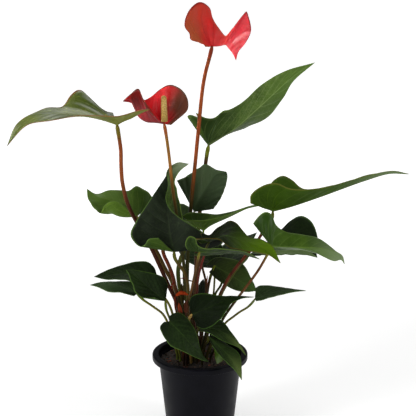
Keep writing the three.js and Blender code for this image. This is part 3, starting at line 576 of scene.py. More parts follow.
# midrib runs from the stalk to the tip, left and right are the margins by way of each basal
# lobe, belly is how far each half bows out, and stalk leads down to its foot in the soil.
LEAVES = {
    "leaf_high_left": dict(
        skin="silver", tone="red_brown", veins=12, quilt=0.8, girth=2.5, foot=(-22, -2),
        midrib=[(117, 125, -12), (98, 119, -14), (70, 114, -20), (40, 116, -30), (20, 127, -38),
            (7, 146, -42)],
        left=[(150, 109, -46), (140, 110.5, -50), (117, 116, -52), (98, 116, -54), (80, 115, -54),
            (62, 119, -52), (27, 125.5, -44)],
        right=[(113, 113, 14), (105, 111, 18), (95, 103, 20), (79.5, 90, 20), (71, 95, 14), (62, 106.5, 2),
            (43, 109, -14), (17, 124, -34)],
        stalk=[(119, 137, -13), (120.8, 150, -14), (121.1, 165, -15), (122.5, 183, -17), (129, 207, -17),
            (150, 245.5, -16), (167, 282, -14), (179, 310, -9)],
    ),
    "leaf_high_right": dict(
        skin="lance", tone="bark", veins=12, girth=2.6, foot=(-9, 17),
        midrib=[(208.5, 146, 50), (234.5, 129, 47), (261, 105.5, 42), (295, 75, 38), (315, 62.4, 34)],
        left=[(195.6, 112.2, 58), (203, 116.8, 58), (210.6, 118.4, 57), (216, 116.8, 56),
            (223.5, 110.6, 54), (228.5, 109.8, 53), (239, 104.5, 51), (245, 100, 50), (262, 84.4, 46),
            (285, 71, 40)],
        right=[(188.4, 118.7, 92), (187.3, 116.6, 95), (189.2, 114.9, 99), (194, 116, 105), (201, 119, 113),
            (212, 121.5, 120), (224, 124, 112), (235, 128.6, 92), (243, 129, 82), (250, 126, 77),
            (261, 121, 70), (272, 113, 62), (283, 98, 52), (293, 81.6, 44)],
        stalk=[(207, 154, 54), (205.8, 162, 56), (203, 185, 56), (199, 220, 50), (196.6, 255, 40),
            (194.9, 284.5, 31), (192.5, 296, 27), (190.8, 308, 23)],
    ),
    "leaf_left": dict(
        skin="forest", tone="olive", veins=9, quilt=0.12, girth=2.7, foot=(-21, 8),
        belly={"left": [0, -10, -10, -2, 0]},
        midrib=[(136.6, 216.6, 25), (125, 207, 28), (110, 200, 30), (95, 195.5, 32), (87, 189, 34)],
        left=[(122, 204, 0), (113, 201, -2), (104, 206, 5), (100.7, 212.8, 10), (95, 209, 15),
            (88, 198, 25)],
        right=[(146.5, 208, 41), (152.5, 200, 46), (149.5, 193.4, 48), (144, 189.6, 48), (136.6, 186, 50),
            (129, 190.6, 48), (110.6, 190, 42), (96, 194, 38)],
        stalk=[(139, 222, 25), (147, 238, 22), (156.6, 251.6, 18), (164.8, 268.2, 13), (170.8, 279.1, 9),
            (174.4, 290, 7.5), (176.4, 302, 7.5)],
    ),
    "leaf_centre": dict(
        skin="night", tone="two_tone", veins=12, girth=2.1, foot=(-16, -10),
        belly={"left": [0, -8, 0, 0, 0]},
        midrib=[(174, 252, -50), (170, 232, -44), (168.6, 214, -36), (167.5, 194, -24), (167, 174.5, -15)],
        left=[(158.5, 238, -68), (149, 239, -68), (145, 244.5, -60), (139.5, 246.3, -52), (130.5, 235, -42),
            (136.6, 220.4, -36), (151, 198.3, -28), (162, 182, -20)],
        right=[(212, 247.5, -40), (221, 244.6, -40), (223.5, 240.4, -42), (216, 237, -44),
            (206, 234.4, -46), (200.4, 230.3, -50), (190, 224, -54), (178, 216.4, -50), (170, 209.3, -46),
            (166, 198.5, -37), (168.4, 185, -25)],
        stalk=[(174.8, 258, -46), (178.4, 264, -42), (184.2, 272, -36), (187, 280, -32), (188.2, 290, -27),
            (187.5, 305, -20)],
    ),
    "leaf_centre_rear": dict(
        skin="copse", tone="brick", veins=10, girth=2.5, foot=(-15, -2),
        midrib=[(166, 240, 12), (169, 208, 14), (169.5, 186, 16), (173, 170, 16), (189, 163.7, 6)],
        left=[(160, 236, 20), (155, 224, 26), (159, 205, 26), (165, 185, 25), (166.8, 171.5, 26),
            (177, 162.6, 17)],
        right=[(176, 236, 10), (182, 226, 4), (182, 214, 2), (179, 200.6, 2), (176.6, 189.4, 2),
            (174.6, 183, 3), (178.5, 172.5, 6)],
        stalk=[(163, 251, 6), (168.8, 265.5, 3), (173, 277, 1), (175.6, 289, 0), (179, 302, -1)],
    ),
    "leaf_rear_upright": dict(
        skin="pewter", tone="bark", veins=10, wave=1.2, girth=1.5, foot=(-9, 10),
        midrib=[(194, 212, 22), (202, 197, 26), (209, 185, 31), (215.4, 175.3, 35), (226.5, 171.8, 36)],
        left=[(176.8, 180.5, 36), (185, 177, 40), (197, 169, 44), (206, 164.3, 44), (216, 169.5, 40)],
        right=[(213.5, 209, 18), (221, 197.7, 22), (226, 185, 28), (227.5, 175.5, 32)],
        stalk=[(196, 236, 26), (199, 256, 26), (203, 270, 26), (205.6, 281, 25), (206, 293, 22)],
    ),
    "leaf_middle_trough": dict(
        skin="forest", tone="bark", veins=10, wave=0.2, girth=1.6, foot=(-2, 2),
        midrib=[(203.5, 231, -2), (210, 226, -4), (230.7, 216.4, -7), (251, 207, -4), (264, 205, 3)],
        left=[(182, 216.3, 6), (188, 212.8, 8), (203, 213, 10), (218, 214.3, 8), (234, 211, 4),
            (253.7, 205.2, 1)],
        right=[(184, 219.8, -24), (195, 220.5, -28), (205, 220.3, -30), (225.6, 215.7, -26),
            (241, 209.8, -14)],
        stalk=[(202, 240, -4), (199, 262, -5), (195, 290, -4)],
    ),
    "leaf_front_strip": dict(
        skin="fringe", tone="straw", veins=9, wave=0.3, girth=1.5, foot=(-9, -12),
        midrib=[(199.6, 252, -86), (215, 252, -86), (232, 251.8, -84), (247, 254.4, -80),
            (259.6, 259.2, -74)],
        left=[(194, 254, -80), (197, 256, -72), (204, 255.4, -66), (216, 254.8, -62), (230, 253.6, -60),
            (243, 254.4, -63), (253, 257.4, -68)],
        right=[(193, 251.5, -90), (187, 249, -94), (185.4, 243, -98), (189, 236.5, -98), (195, 238, -100),
            (197, 245, -102), (203, 248.2, -102), (218, 248.8, -103), (234, 250, -101), (248, 253, -93),
            (254, 256, -84)],
        stalk=[(197.6, 261, -72), (194.6, 275, -58), (191.4, 290, -45), (188, 310, -30)],
    ),
    "leaf_front_hump": dict(
        skin="lime_tip", tone="crimson", veins=11, girth=1.4, foot=(-2, -13),
        midrib=[(209.5, 242, -58), (225, 236, -60), (245, 242, -64), (264, 250, -68), (280.7, 263.3, -72)],
        left=[(202.5, 238, -54), (201, 233, -54), (209, 235, -51), (216, 229, -45), (223, 224, -38),
            (230, 221, -36), (237, 223.5, -38), (247.7, 236.3, -48), (261, 239.5, -56), (272, 246, -64)],
        right=[(201, 244, -64), (196, 239, -74), (203, 239, -80), (217.5, 238.8, -88), (231.6, 248, -90),
            (250, 251.4, -86), (268, 254.8, -77)],
        stalk=[(206.3, 248, -56), (203.9, 256.5, -53), (200.3, 268.6, -47), (198, 280, -42),
            (197, 292, -36), (194, 315, -24)],
    ),
    "leaf_right_long": dict(
        skin="bright", tone="maroon", veins=13, wave=0.3, girth=2, foot=(4, 5),
        midrib=[(272.8, 211.5, 0), (290.5, 207, -4), (318.6, 197.6, -8), (363.5, 181.3, -16),
            (391, 173.4, -22), (409, 174, -26)],
        left=[(267, 189, 24), (274, 180, 32), (282.7, 175.7, 36), (292, 180, 34), (303, 188.6, 26),
            (335.4, 185, 8), (374.7, 173.7, -10)],
        right=[(250.5, 203.4, -28), (251, 195, -32), (262.4, 186, -36), (275.6, 183.3, -36),
            (290.5, 188.6, -32), (318.6, 188.6, -26), (352, 180, -25), (391.5, 171, -26)],
        stalk=[(272, 219, 3), (264, 230, 5), (255, 245, 6), (241.3, 261, 7), (230.4, 275, 7.5),
            (225, 284.3, 8), (219.5, 296, 8)],
    ),
    "leaf_right": dict(
        skin="meadow", tone="orange", veins=12, girth=1.7, foot=(9, -8),
        midrib=[(271.6, 247, -25), (296, 247.3, -30), (330, 249.8, -38), (342, 255.4, -44),
            (344.5, 264, -46)],
        left=[(253, 223.5, -12), (258, 217, -10), (265, 212, -10), (271, 214, -10), (276, 225, -10),
            (284, 231, -12), (296, 234, -14), (316, 237.4, -20), (335.4, 251, -36)],
        right=[(274, 250, -18), (285, 250, -10), (303, 249.5, -16), (318.6, 254.3, -32), (334, 261.2, -45),
            (341, 260, -47)],
        stalk=[(266.6, 256, -25), (258.2, 270.4, -24), (244.5, 289, -20), (235, 301.5, -16),
            (222.7, 319.5, -12)],
    ),
    "leaf_right_rear": dict(
        skin="ink_split", tone="moss", veins=10, girth=1.8, foot=(2, 13),
        midrib=[(250, 254, 26), (275, 252.7, 22), (296, 253.7, 18), (310, 255, 16), (317.5, 257.5, 14)],
        left=[(256, 250, 36), (272, 246, 46), (283, 229.6, 50), (290, 221, 52), (301.7, 216, 52),
            (310, 220, 48), (315, 228, 42), (318, 240, 30), (316.5, 253, 18)],
        right=[(252, 256, 18), (270, 254.8, 4), (290, 254.6, 6), (305, 254.8, 11)],
        stalk=[(246, 258, 26), (236, 270, 25), (221, 295, 20)],
    ),
    "leaf_rear_low": dict(
        skin="glade", tone="bark", veins=9, girth=1.9, foot=(1, 24),
        midrib=[(214.6, 266, 40), (227, 273, 38), (243, 283, 36), (256.5, 291, 34)],
        left=[(206, 265, 46), (215, 258, 50), (232, 259, 50), (243, 264, 48), (250.4, 276.6, 42),
            (254.8, 285.5, 38)],
        right=[(209, 272, 36), (215, 278, 34), (225, 285, 32), (236, 290.5, 32), (247, 292, 33)],
        stalk=[(211, 275, 38), (207.8, 289, 32)],
    ),
    "leaf_low_right": dict(
        skin="slate", tone="fresh", veins=9, wave=0.15, girth=1.4, foot=(10, -1),
        midrib=[(255, 299, -10), (275, 292.5, -12), (293, 290.5, -14), (306, 290.7, -16)],
        left=[(255.5, 288, 6), (259.5, 285.8, 9), (267, 285.4, 10), (281.6, 287.3, 4), (295, 289.3, -8)],
        right=[(256, 301, -18), (261, 300.3, -26), (270, 297.6, -30), (282, 294.6, -24), (294, 292, -18)],
        stalk=[(252, 303, -10), (247.5, 307.3, -9), (240, 311.8, -8), (233, 317, -6), (225.5, 323, -4)],
    ),
    "leaf_low_front": dict(
        skin="ink", tone="buff", veins=9, girth=1.7, foot=(-12, -19),
        midrib=[(192, 314.6, -48), (205.7, 309, -52), (223.6, 301.5, -56), (240, 297.5, -60),
            (254, 297, -62)],
        left=[(188.6, 303.4, -47), (191, 297.4, -47), (196, 294.2, -48), (206, 293.4, -48),
            (220, 295.6, -50), (239.6, 296, -56)],
        right=[(197, 326.5, -58), (204, 329, -62), (213, 325.5, -66), (222, 317.5, -68),
            (231.6, 303.5, -66), (242, 298.5, -64)],
        stalk=[(189.3, 318, -39), (187.3, 325, -29.4)],
    ),
    "leaf_rim_upper": dict(
        skin="shade", tone="rim", veins=8, wave=0.4, girth=1.4, foot=(-4, -21),
        midrib=[(199.4, 326.6, -42), (216, 329.5, -49), (230, 337, -56), (239, 345.5, -62),
            (246, 355.5, -66)],
        left=[(204, 322, -36), (213, 320.5, -36), (221, 319.8, -38), (226, 325, -44), (233.5, 335, -52),
            (241, 346, -60)],
        right=[(199.6, 331, -46), (205, 332, -51), (211, 334, -54), (219, 339, -58), (228, 343.2, -62),
            (238.7, 347.8, -64)],
        stalk=[(197.6, 331, -37), (196, 340, -30)],
    ),
    "leaf_rim_lower": dict(
        skin="shade", tone="rim", veins=8, wave=0.4, girth=1.4, foot=(3, -23),
        midrib=[(208.5, 336.5, -52), (220, 347, -62), (232, 360, -73), (239.5, 371, -79),
            (241.8, 380.3, -81)],
        left=[(213, 335, -45), (224, 342.6, -51), (234, 349, -60), (239.7, 355, -68), (241.6, 366, -76)],
        right=[(212.5, 346, -63), (217.5, 353, -69), (226, 361.8, -77), (234.5, 369.8, -81)],
        stalk=[(208.4, 340.4, -45), (204.6, 346, -36)],
    ),
    "leaf_low_left_front": dict(
        skin="dusk", tone="rim", veins=9, girth=1.4, foot=(-22, -16),
        midrib=[(169.5, 321.6, -46), (182.8, 335, -56), (193.6, 347.5, -62), (202, 356, -65),
            (208.5, 361.6, -67)],
        left=[(168.5, 317, -42), (173, 313.5, -40), (180, 312.8, -40), (188, 319, -44), (196, 332, -51),
            (199.3, 345, -57), (202.7, 355, -63)],
        right=[(164, 321.8, -50), (160, 327, -56), (163, 335, -62), (171, 346, -66), (181, 350.5, -68),
            (192, 355.8, -68), (202.7, 360.4, -68)],
        stalk=[(172, 322, -40), (176, 328, -32)],
    ),
    "leaf_low_left": dict(
        skin="dusk", tone="fresh", veins=9, girth=1.5, foot=(-27, -9),
        midrib=[(165.3, 301, -30), (155, 293, -34), (143, 283, -38), (133, 274.5, -42), (126, 269.6, -45)],
        left=[(155, 297.7, -48), (146, 298, -54), (137.5, 295, -56), (133, 286, -54), (129, 275, -50)],
        right=[(168, 285, -20), (163.5, 277.5, -20), (153.7, 273.5, -26), (143, 271.4, -32),
            (133, 269.8, -40)],
        stalk=[(166.4, 310, -27), (170, 319.5, -23)],
    ),
    "leaf_left_upper": dict(
        skin="dusk", tone="fresh", veins=9, wave=0.2, girth=1.6, foot=(-31, 5),
        midrib=[(153, 284, 4), (138, 276, 5), (120, 274, 6), (105, 276, 7), (94, 276.7, 8)],
        left=[(150, 290, -5), (140, 288, -12), (130, 281, -13), (118.6, 279.5, -9), (106, 279.5, 0)],
        right=[(157, 276, 12), (154.5, 268, 16), (148, 262, 19), (137.5, 261.4, 20), (123.5, 264.7, 18),
            (110, 269, 14), (101, 273, 10)],
        stalk=[(160, 293, 3), (167, 301, 2), (172, 312, 1)],
    ),
    "leaf_left_lower": dict(
        skin="slate", tone="fresh", veins=9, wave=0.15, girth=1.5, foot=(-31, -4),
        midrib=[(137, 294, -6), (122, 287, 0), (105, 284.5, 4), (90, 285, 8)],
        left=[(134, 296, -15), (128, 294.5, -20), (120, 292.3, -20), (109.5, 292, -14), (97.5, 287, 0)],
        right=[(140, 290, -1), (139, 285, 4), (130, 281.5, 8), (115, 281.5, 10), (100, 282.3, 9)],
        stalk=[(143, 299.6, -8), (153.7, 307, -9), (164, 315.6, -9)],
    ),
    "leaf_rear_dark": dict(
        skin="dusk", tone="fresh", veins=9, girth=1.3, foot=(4, 29),
        midrib=[(215, 264, 52), (201, 257, 72), (188, 251, 96), (177, 246, 118)],
        left=[(212, 268, 46), (200, 267, 52), (188, 262, 70), (180, 254, 98)],
        right=[(221, 255, 60), (223, 247, 64), (214, 241.5, 84), (198, 240.5, 108), (184, 242, 120)],
        stalk=[(214.5, 280, 47), (213, 298, 40)],
    ),
    "leaf_rear_right": dict(
        skin="dusk", tone="moss", veins=9, girth=1.5, foot=(14, 20),
        midrib=[(226, 264, 64), (236, 254, 88), (248, 242, 118), (257, 232.5, 140)],
        left=[(219, 258, 72), (221, 247, 92), (233, 240, 116), (248, 235.6, 132)],
        right=[(231, 268, 58), (243, 264, 66), (251, 252, 90), (253, 241, 122)],
        stalk=[(221.4, 284, 50), (214.6, 296, 38)],
    ),
    "leaf_rear_left": dict(
        skin="shade", tone="moss", veins=9, girth=2.8, foot=(-16, 21),
        midrib=[(190, 236, 46), (181, 224, 76), (173, 214, 112), (166, 208, 140)],
        left=[(184, 241, 48), (170, 237, 62), (160, 224, 90), (160, 211, 122)],
        right=[(196, 228, 56), (193, 213, 82), (186, 205, 108), (173, 204, 134)],
        stalk=[(186, 247, 40), (180.5, 259, 32), (178.2, 270, 26), (178.8, 282, 23), (181, 296, 20)],
    ),
    "leaf_rear_small": dict(
        skin="night", tone="moss", veins=8, girth=1.3, foot=(-10, 28),
        midrib=[(199.5, 306, 38), (200.4, 297, 40), (201.8, 288, 42), (203.4, 279, 44)],
        left=[(196.5, 305, 42), (194.6, 299, 44), (196.4, 290, 46), (200.6, 282, 46)],
        right=[(203, 305, 40), (205.4, 298, 42), (205.6, 290, 44), (204.8, 283, 45)],
        stalk=[(198.6, 316, 35)],
    ),
    "leaf_soil_small": dict(
        skin="bright", tone="rim", veins=6, girth=1.4, foot=(14, -18),
        midrib=[(220, 343, -38), (219, 353, -45), (217, 364, -50)],
        left=[(224, 346, -37), (226, 354, -41), (222, 361, -46)],
        right=[(215, 346, -40), (214.5, 354, -46), (215.5, 360, -49)],
        stalk=[(217.5, 345.5, -31)],
    ),
}

# The two flowers: the spathe as a blade, its stalk, and the foot and tip of the spadix.
FLOWERS = {
    "top": dict(
        tone="flower_brown", skin="back", girth=2.4, foot=(-14, 12),
        midrib=[(212, 46.5, 8), (219, 46.2, 2), (225.6, 45, -7), (228.6, 48.4, -12), (232.8, 53.6, -19),
            (236, 60.2, -24)],
        left=[(199, 41, 38), (209, 37, 48), (220, 38, 36), (226.5, 41.5, 14), (231, 45, 0),
            (234.6, 52.5, -14)],
        right=[(205.5, 47, 8), (201.5, 42.4, 7), (190.4, 39.6, 3), (189.4, 33.4, 1), (184.6, 26, -2),
            (188.6, 11, 0), (199.5, 2, 6), (209.5, 7.5, 10), (212.4, 17, 11), (217, 25.4, 9),
            (225, 35.9, -3), (226.2, 35.8, -6), (233.8, 27, -22), (244.6, 13, -29.5), (246.4, 11, -30),
            (247.6, 14.4, -31), (250.9, 30.6, -34), (246, 42.2, -32), (239.4, 50, -29), (237.2, 55.4, -26)],
        stalk=[(211.3, 50, 8.6), (208.8, 60, 9.6), (205.6, 72, 10.6), (202.7, 88, 12), (199.6, 117, 13),
            (196, 155, 14), (190.5, 211, 14), (188, 250, 13), (187, 290, 10)],
        spadix=[(211.8, 42.7, 14.4), (210, 23.3, 20)],
    ),
    "low": dict(
        tone="flower_olive", skin="front", girth=2, foot=(-8, -5),
        midrib=[(164.2, 124, -14), (156, 122.8, -12), (146, 121.8, -8), (138.6, 116.8, -8),
            (134.6, 109, -10), (132.6, 103.6, -14), (122.8, 101.2, -18)],
        left=[(153, 115, -30), (147, 108, -34), (142.5, 98, -34), (138, 89, -30), (130, 94.6, -27)],
        right=[(171, 125, -12), (180, 117.5, -10), (187.5, 110, -8), (188, 100, -4), (182, 90, 2),
            (170.6, 84.7, 8), (160, 89.5, 10), (150.8, 97, 8), (143.5, 99.7, 4), (138, 88.6, -4),
            (131, 93.5, -10)],
        stalk=[(166, 134, -13), (168.7, 153, -12), (173, 190.6, -10), (176.4, 214, -9), (180, 240, -8),
            (183.5, 262, -7), (185, 290, -5)],
        spadix=[(164.4, 121.4, -20.5), (163.8, 98.4, -24)],
    ),
}

# The papery sheaths that clasp the stalk bases.
SHEATHS = {
    "sheath_bent": dict(
        foot=(-16.5, -19.5),
        midrib=[(175.4, 295.5, -40), (181.5, 292.4, -45), (188.7, 295.2, -43)],
        left=[(176.6, 293.6, -40), (181, 290.6, -43), (185.5, 292.2, -43)],
        right=[(177.2, 296.2, -42), (181.5, 294.9, -47), (186, 295.4, -45)],
        stalk=[(174.8, 300, -38), (175.4, 308, -33), (178.5, 320, -26)],
    ),
    "sheath_left": dict(
        foot=(-21.5, -24.5),
        midrib=[(181, 315, -37), (180, 308, -39), (178.6, 302.6, -39)],
        left=[(178.6, 312, -36), (177.8, 306.5, -37)],
        right=[(182.6, 312, -38), (181, 306, -40)],
        stalk=[(181.8, 322, -33)],
    ),
    "sheath_olive": dict(
        foot=(-12, 5),
        midrib=[(182, 304, 6), (181.6, 294, 7), (181.8, 283, 8)],
        left=[(179.6, 301, 7), (178.8, 292, 8)],
        right=[(184.4, 301, 6), (184.8, 292, 7)],
        stalk=[(182, 312, 6)],
    ),
    "sheath_right": dict(
        foot=(-18, -28),
        midrib=[(186, 314, -38), (185.8, 306, -39), (187.2, 299.4, -39)],
        left=[(183.6, 310.5, -36), (184, 304, -37)],
        right=[(188, 311, -40), (187.9, 304, -40)],
        stalk=[(185.2, 322, -36)],
    ),
}

# ---------------------------------------------------------------- palettes

# Each colour is rrggbb
SKINS = {
    # upper side: face, deep, vein, rim, tip; then the under side's face, deep, vein
    "silver": "66702e 3e4e0e 848e4c 80502c - 6c7024 505816 848c3c",
    "forest": "466020 2a4010 627830 567028 526e2a 4c681a 2e480e 748e34",
    "glade": "36441e 222a14 52682e 567028 405a26 4c681a 2e480e 748e34",
    "lance": "425a1f 263a11 96aa68 647e38 54702e 4c681a 2e480e 748e34",
    "shade": "263616 18240d 3e5822 4a6828 566632 324c1a 203410 5c7830",
    "slate": "3e5430 2e4022 50683a 5c763c - 3c5428 2a3e1a 5c783a",
    "pewter": "3a4830 303e26 425832 506838 - 3c5428 2a3e1a 5c783a",
    "ink": "16240c 0d1608 30441a 3c5822 - 324c1a 203410 5c7830",
    "ink_split": "15200d 0d1509 30441a 3c5822 - 324c1a 203410 5c7830",
    "night": "222a1d 12180f 364822 506c2e - 344a14 24380c 58702c",
    "dusk": "203114 131f0b 425c26 4e6c2a - 36501e 203612 627c34",
    "copse": "324416 1e2c0c 546c2c 6e883c 788668 466022 2a3e12 70883e",
    # The pale grey-green tips of meadow and bright are partly a lighter tip colour and partly painted sheen
    "meadow": "4a661e 2c4612 688436 6a8638 768860 506c24 324c12 7a943e",
    "bright": "46621c 324a0e 5c7628 5c6022 60724c 324c08 263c03 4e6818",
    "lime_tip": "121908 0c1205 3c5616 605422 506e0c 304812 1e300a 607a28",
    "fringe": "1e2e12 111b09 4a6828 607c32 - 243614 14220a 546e2c",
}
TONES = {
    # knee, upper, middle and foot; the foot's colour comes in between these lengths from it, in dm
    "red_brown": ("6e6420 904e26 783a20 3e1f11", (3.1, 2.55)),
    "maroon": ("5a5e1e 6a301e 3e2214 3e3619", (1.4, 0.9)),
    "crimson": ("444620 5c221a 4a2418 3a2414", (1.4, 0.7)),
    "brick": ("683a1a 72301e 643c22 322d12", (1.5, 1.0)),
    "orange": ("747828 724a28 56341c 302b12", (1.6, 1.0)),
    "straw": ("666222 583c1e 463219 302c12", (1.2, 0.6)),
    "bark": ("6a7220 4c301a 442e18 3a2c16", (1.5, 0.8)),
    "olive": ("50421c 4e3a1a 483a1a 5c602c", (1.4, 1.1)),
    "moss": ("3c4a1c 444c1e 505220 2a2e13", (1.2, 0.8)),
    "fresh": ("5c6824 6e6826 625e22 4a521e", (0.7, 0.2)),
    "two_tone": ("58581c 52441a 483418 2a2412", (1.3, 0.8)),
    "buff": ("967a42 8c703a 6e562c 282210", (0.4, 0.1)),
    "rim": ("3e4016 26220f 201c0d 1e1a0c", (0.4, 0.1)),
    "flower_brown": ("7c301a 944820 7c381a 303013", (3.2, 2.2)),
    "flower_olive": ("924e28 92602c 805a24 383616", (3.0, 2.2)),
}

# Roughness, coat and specular level of the upper sides that are not DULL, and of all under sides
GLOSS = {
    "silver": (0.24, 0.2, 0.3), "forest": (0.34, 0.0, 0.12), "meadow": (0.3, 0.05, 0.14),
    "bright": (0.34, 0.0, 0.07), "ink": (0.46, 0.0, 0.04),
}
DULL = (0.42, 0.0, 0.08)
UNDER_GLOSS = (0.45, 0.0, 0.06)
# How far the side veins take the vein colour where that is faint
VEIN_SHARE = {
    "lance": 0.22, "night": 0.12, "ink": 0.12, "ink_split": 0.12, "dusk": 0.13, "shade": 0.18,
    "slate": 0.18, "pewter": 0.18,
}
# Between which runs the tip colour comes in where it is not the usual
TIP_FROM = {"lime_tip": (0.4, 0.82), "copse": (0.76, 0.98)}
# Skins with painted light on their left or right half: the lighter colour that half is painted, and between
# which offsets it comes in
PAINTED_LIGHT_HALVES = {"pewter": [("4e6040", 0.5, 0.56)], "ink_split": [("748a58", 0.68, 0.6)]}

leaf_sets = {}
for skin, codes in SKINS.items():
    face, deep, vein, rim, tip, under_face, under_deep, under_vein = tints(codes)
    leaf_sets[skin] = [
        leaf_material(
            f"leaf_{skin}", face, deep, vein, rim, tip, GLOSS.get(skin, DULL), VEIN_SHARE.get(skin, 0.3),
            TIP_FROM.get(skin, (0.55, 0.98)), PAINTED_LIGHT_HALVES.get(skin, ()),
        ),
        # The bright skin's under side takes its pale tip as well, partly painted sheen
        leaf_material(
            f"leaf_{skin}_under", under_face, under_deep, under_vein, rim,
            tip if skin == "bright" else None, UNDER_GLOSS, 0.4, upper=False,
        ),
    ]
stalk_sets = {
    tone: stalk_material(f"stalk_{tone}", *tints(codes), foot_from)
    for tone, (codes, foot_from) in TONES.items()
}

# ---------------------------------------------------------------- leaves, flowers and sheaths

for order, (node, part) in enumerate(LEAVES.items()):
    wave = (part.get("wave", 0.6), 4 + order % 3, order * 0.37 % 1)
    shape = blade_shape(part, quilt=part.get("quilt", 0.35), wave=wave)
    tube(shape, stalk_route(part), stalk_radius(part.get("girth", 2.1)), 2)
    piece = shape.made(node + "_dressed", [*leaf_sets[part["skin"]], stalk_sets[part["tone"]]])
    stand_for(piece, node)

# The face and the back of each spathe: colours of the middle, the hollows, the margin and the rim;
# shade is where an aged patch comes in and its colour, turned the same for the tip that is turned
# over, with its roughness
spathe_sets = {
    "back": [
        spathe_material("spathe_top_face", "ec182c be0818 f0283c 8c040e"),
        spathe_material(
            "spathe_top_under", "c80c0c 9c0708 b0260c 821210", upper=False, rough=0.42, coat=0.0,
            shade=(0.36, 0.12, "923c08"), turned=(0.6, 0.66, "c81228", 0.2), wrinkle=2.6,
        ),
    ],
    "front": [
        spathe_material(
            "spathe_low_face", "c4121c 960810 762014 4e3820", rough=0.5, coat=0.04, spec=0.2,
            shade=(0.56, 0.3, "542e1a"), turned=(0.32, 0.5, "e21822", 0.3), wrinkle=2.4,
        ),
        spathe_material(
            "spathe_low_under", "a40e16 70080e 801a14 5c2214", upper=False, rough=0.34, coat=0.1,
            turned=(0.74, 0.8, "d61422", 0.34),
        ),
    ],
}


def spadix_shape(part, sides=60, rows=110, lanes=13, turns=26, bead=0.32):
    """A tapering column beaded all over with the florets, which run round it in spirals."""
    base, tip = (seen(p) for p in part["spadix"])
    axis = unit(tip - base)
    side = unit(sideways - axis * sideways.dot(axis))
    other = np.cross(axis, side)
    rings = []
    for i in range(rows + 1):
        share = i / rows
        into_cap = max(0.0, share - 0.88) / 0.12
        radius = SPADIX_RADIUS * (1 - 0.22 * share) * math.sqrt(max(0.01, 1 - into_cap**2))
        foot = min(1.0, share / 0.02 + 0.6)
        ring = []
        for k in range(sides):
            turn = k / sides
            florets = math.cos(2 * math.pi * (lanes * turn + turns * share / 2)) * math.cos(
                2 * math.pi * (lanes * turn - turns * share / 2)
            )
            out = radius * foot + bead * (abs(florets) ** 0.6 - 0.5) * min(1, radius / 2)
            angle = 2 * math.pi * turn
            around = math.cos(angle) * side + math.sin(angle) * other
            ring.append(base + axis * SPADIX_LENGTH * share + out * around)
        rings.append(ring)
    shape = Shape()
    shape.add_rings(rings, [(0, i / rows) for i in range(rows + 1)])
    return shape


def spadix_material():
    n = Nodes("spadix")
    _, share = n.place()
    stops = [(0.0, "786828"), (0.25, "bc9c4e"), (0.7, "dcbe74"), (0.96, "c4a054")]
    body = n.ramp(share, [(at, tint(code)) for at, code in stops])
    net = n.cells(880, "F1", seed=3)
    colour = n.mix(n.band(net, 0.25, 0.7), body, tint("967434"))
    colour = n.mix(n.times(n.band(n.noise(300, 3), 0.55, 0.75), 0.4), colour, tint("785422"))
    n.bump((net, 0.5, -0.3))
    return n.finish(colour, 0.55, Coat_Weight=0.0, Specular_IOR_Level=0.3)


spadix_skin = spadix_material()
for name, part in FLOWERS.items():
    shape = blade_shape(part, rows=84, columns=14, quilt=0.55, wave=(0.5, 4, 0.1))
    tube(shape, stalk_route(part), stalk_radius(part.get("girth", 2.1), 0.4, 0.3), 2)
    piece = shape.made(f"flower_{name}_dressed", [*spathe_sets[part["skin"]], stalk_sets[part["tone"]]])
    stand_for(piece, f"flower_{name}")
    piece = spadix_shape(part).made(f"spadix_{name}_dressed", [spadix_skin])
    stand_for(piece, f"spadix_{name}")


# The height in metres below which a sheath darkens with painted shade
PAINTED_SHADE_FROM = 0.15


def sheath_material(name, light, dark, edge):
    """Fibrous dry tissue, darkened near the soil by painted shade."""
    n = Nodes(name)
    _, offset = n.place()
    fibres = n.band(n.noise(260, 4, stretch=(1, 1, 0.08), seed=2), 0.3, 0.7)
    across = n.math("ABSOLUTE", n.math("SUBTRACT", offset, 0.5))
    colour = n.mix(fibres, dark, light)
    colour = n.mix(n.band(across, 0.3, 0.5), colour, edge)
    upright = n.node("ShaderNodeSeparateXYZ")
    n.put(n.where(), upright.inputs[0])
    # Painted shade: the sheath darkens from a little above the pot's rim down into the pot
    colour = n.mix(n.band(upright.outputs[2], PAINTED_SHADE_FROM, POT_HEIGHT / 1000), colour, tint("22160e"))
    n.bump((n.noise(600, 3, stretch=(1, 1, 0.05)), 0.5, 0.4), (n.noise(120, 3, seed=5), 0.4, 0.8))
    return n.finish(colour, 0.6, Coat_Weight=0.0, Specular_IOR_Level=0.07)


SHEATH_TINTS = {
    "sheath_bent": ("orange", "aa3a0a 6c2206 541c08"),
    "sheath_left": ("red", "84300c 4a1808 64280e"),
    "sheath_olive": ("olive", "4c421c 322a12 584e24"),
    "sheath_right": ("brown", "4e2612 2c160c 402212"),
}
for node, part in SHEATHS.items():
    shape = blade_shape(part, rows=24, columns=6, quilt=0.15, wave=(0.3, 3, 0.2), thickness=0.6)
    tube(shape, stalk_route(part), stalk_radius(1.1, 0.5, 0), 0, sides=10, spacing=3)
    shade, codes = SHEATH_TINTS[node]
    skin = sheath_material(f"sheath_{shade}", *tints(codes))
    stand_for(shape.made(node + "_dressed", [skin, skin]), node)

# Dried tendrils among the stalks: a red one to either side, a thin one across, and a brown husk,
# each with its route, its radius in mm and its colour
TENDRILS = {
    "tendril_left": (
        [(175.6, 281, -27), (172.8, 283.5, -30), (171.6, 287, -30), (173.4, 291, -27)],
        0.7, "7c1e12",
    ),
    "tendril_right": (
        [(207.5, 276, 30), (206.5, 284, 30), (206, 290, 29), (206, 296, 28)],
        0.9, "96281e",
    ),
    "husk": ([(199.4, 326, -22), (200.2, 333, -22), (199.8, 341, -20)], 1.1, "3a2010"),
    "tendril_across": (
        [
            (180.2, 278.2, -24), (184.8, 278.6, -29), (189.5, 280.6, -30), (193.5, 281.4, -31),
            (196.6, 283.4, -32),
        ],
        0.75, "681c14",
    ),
}


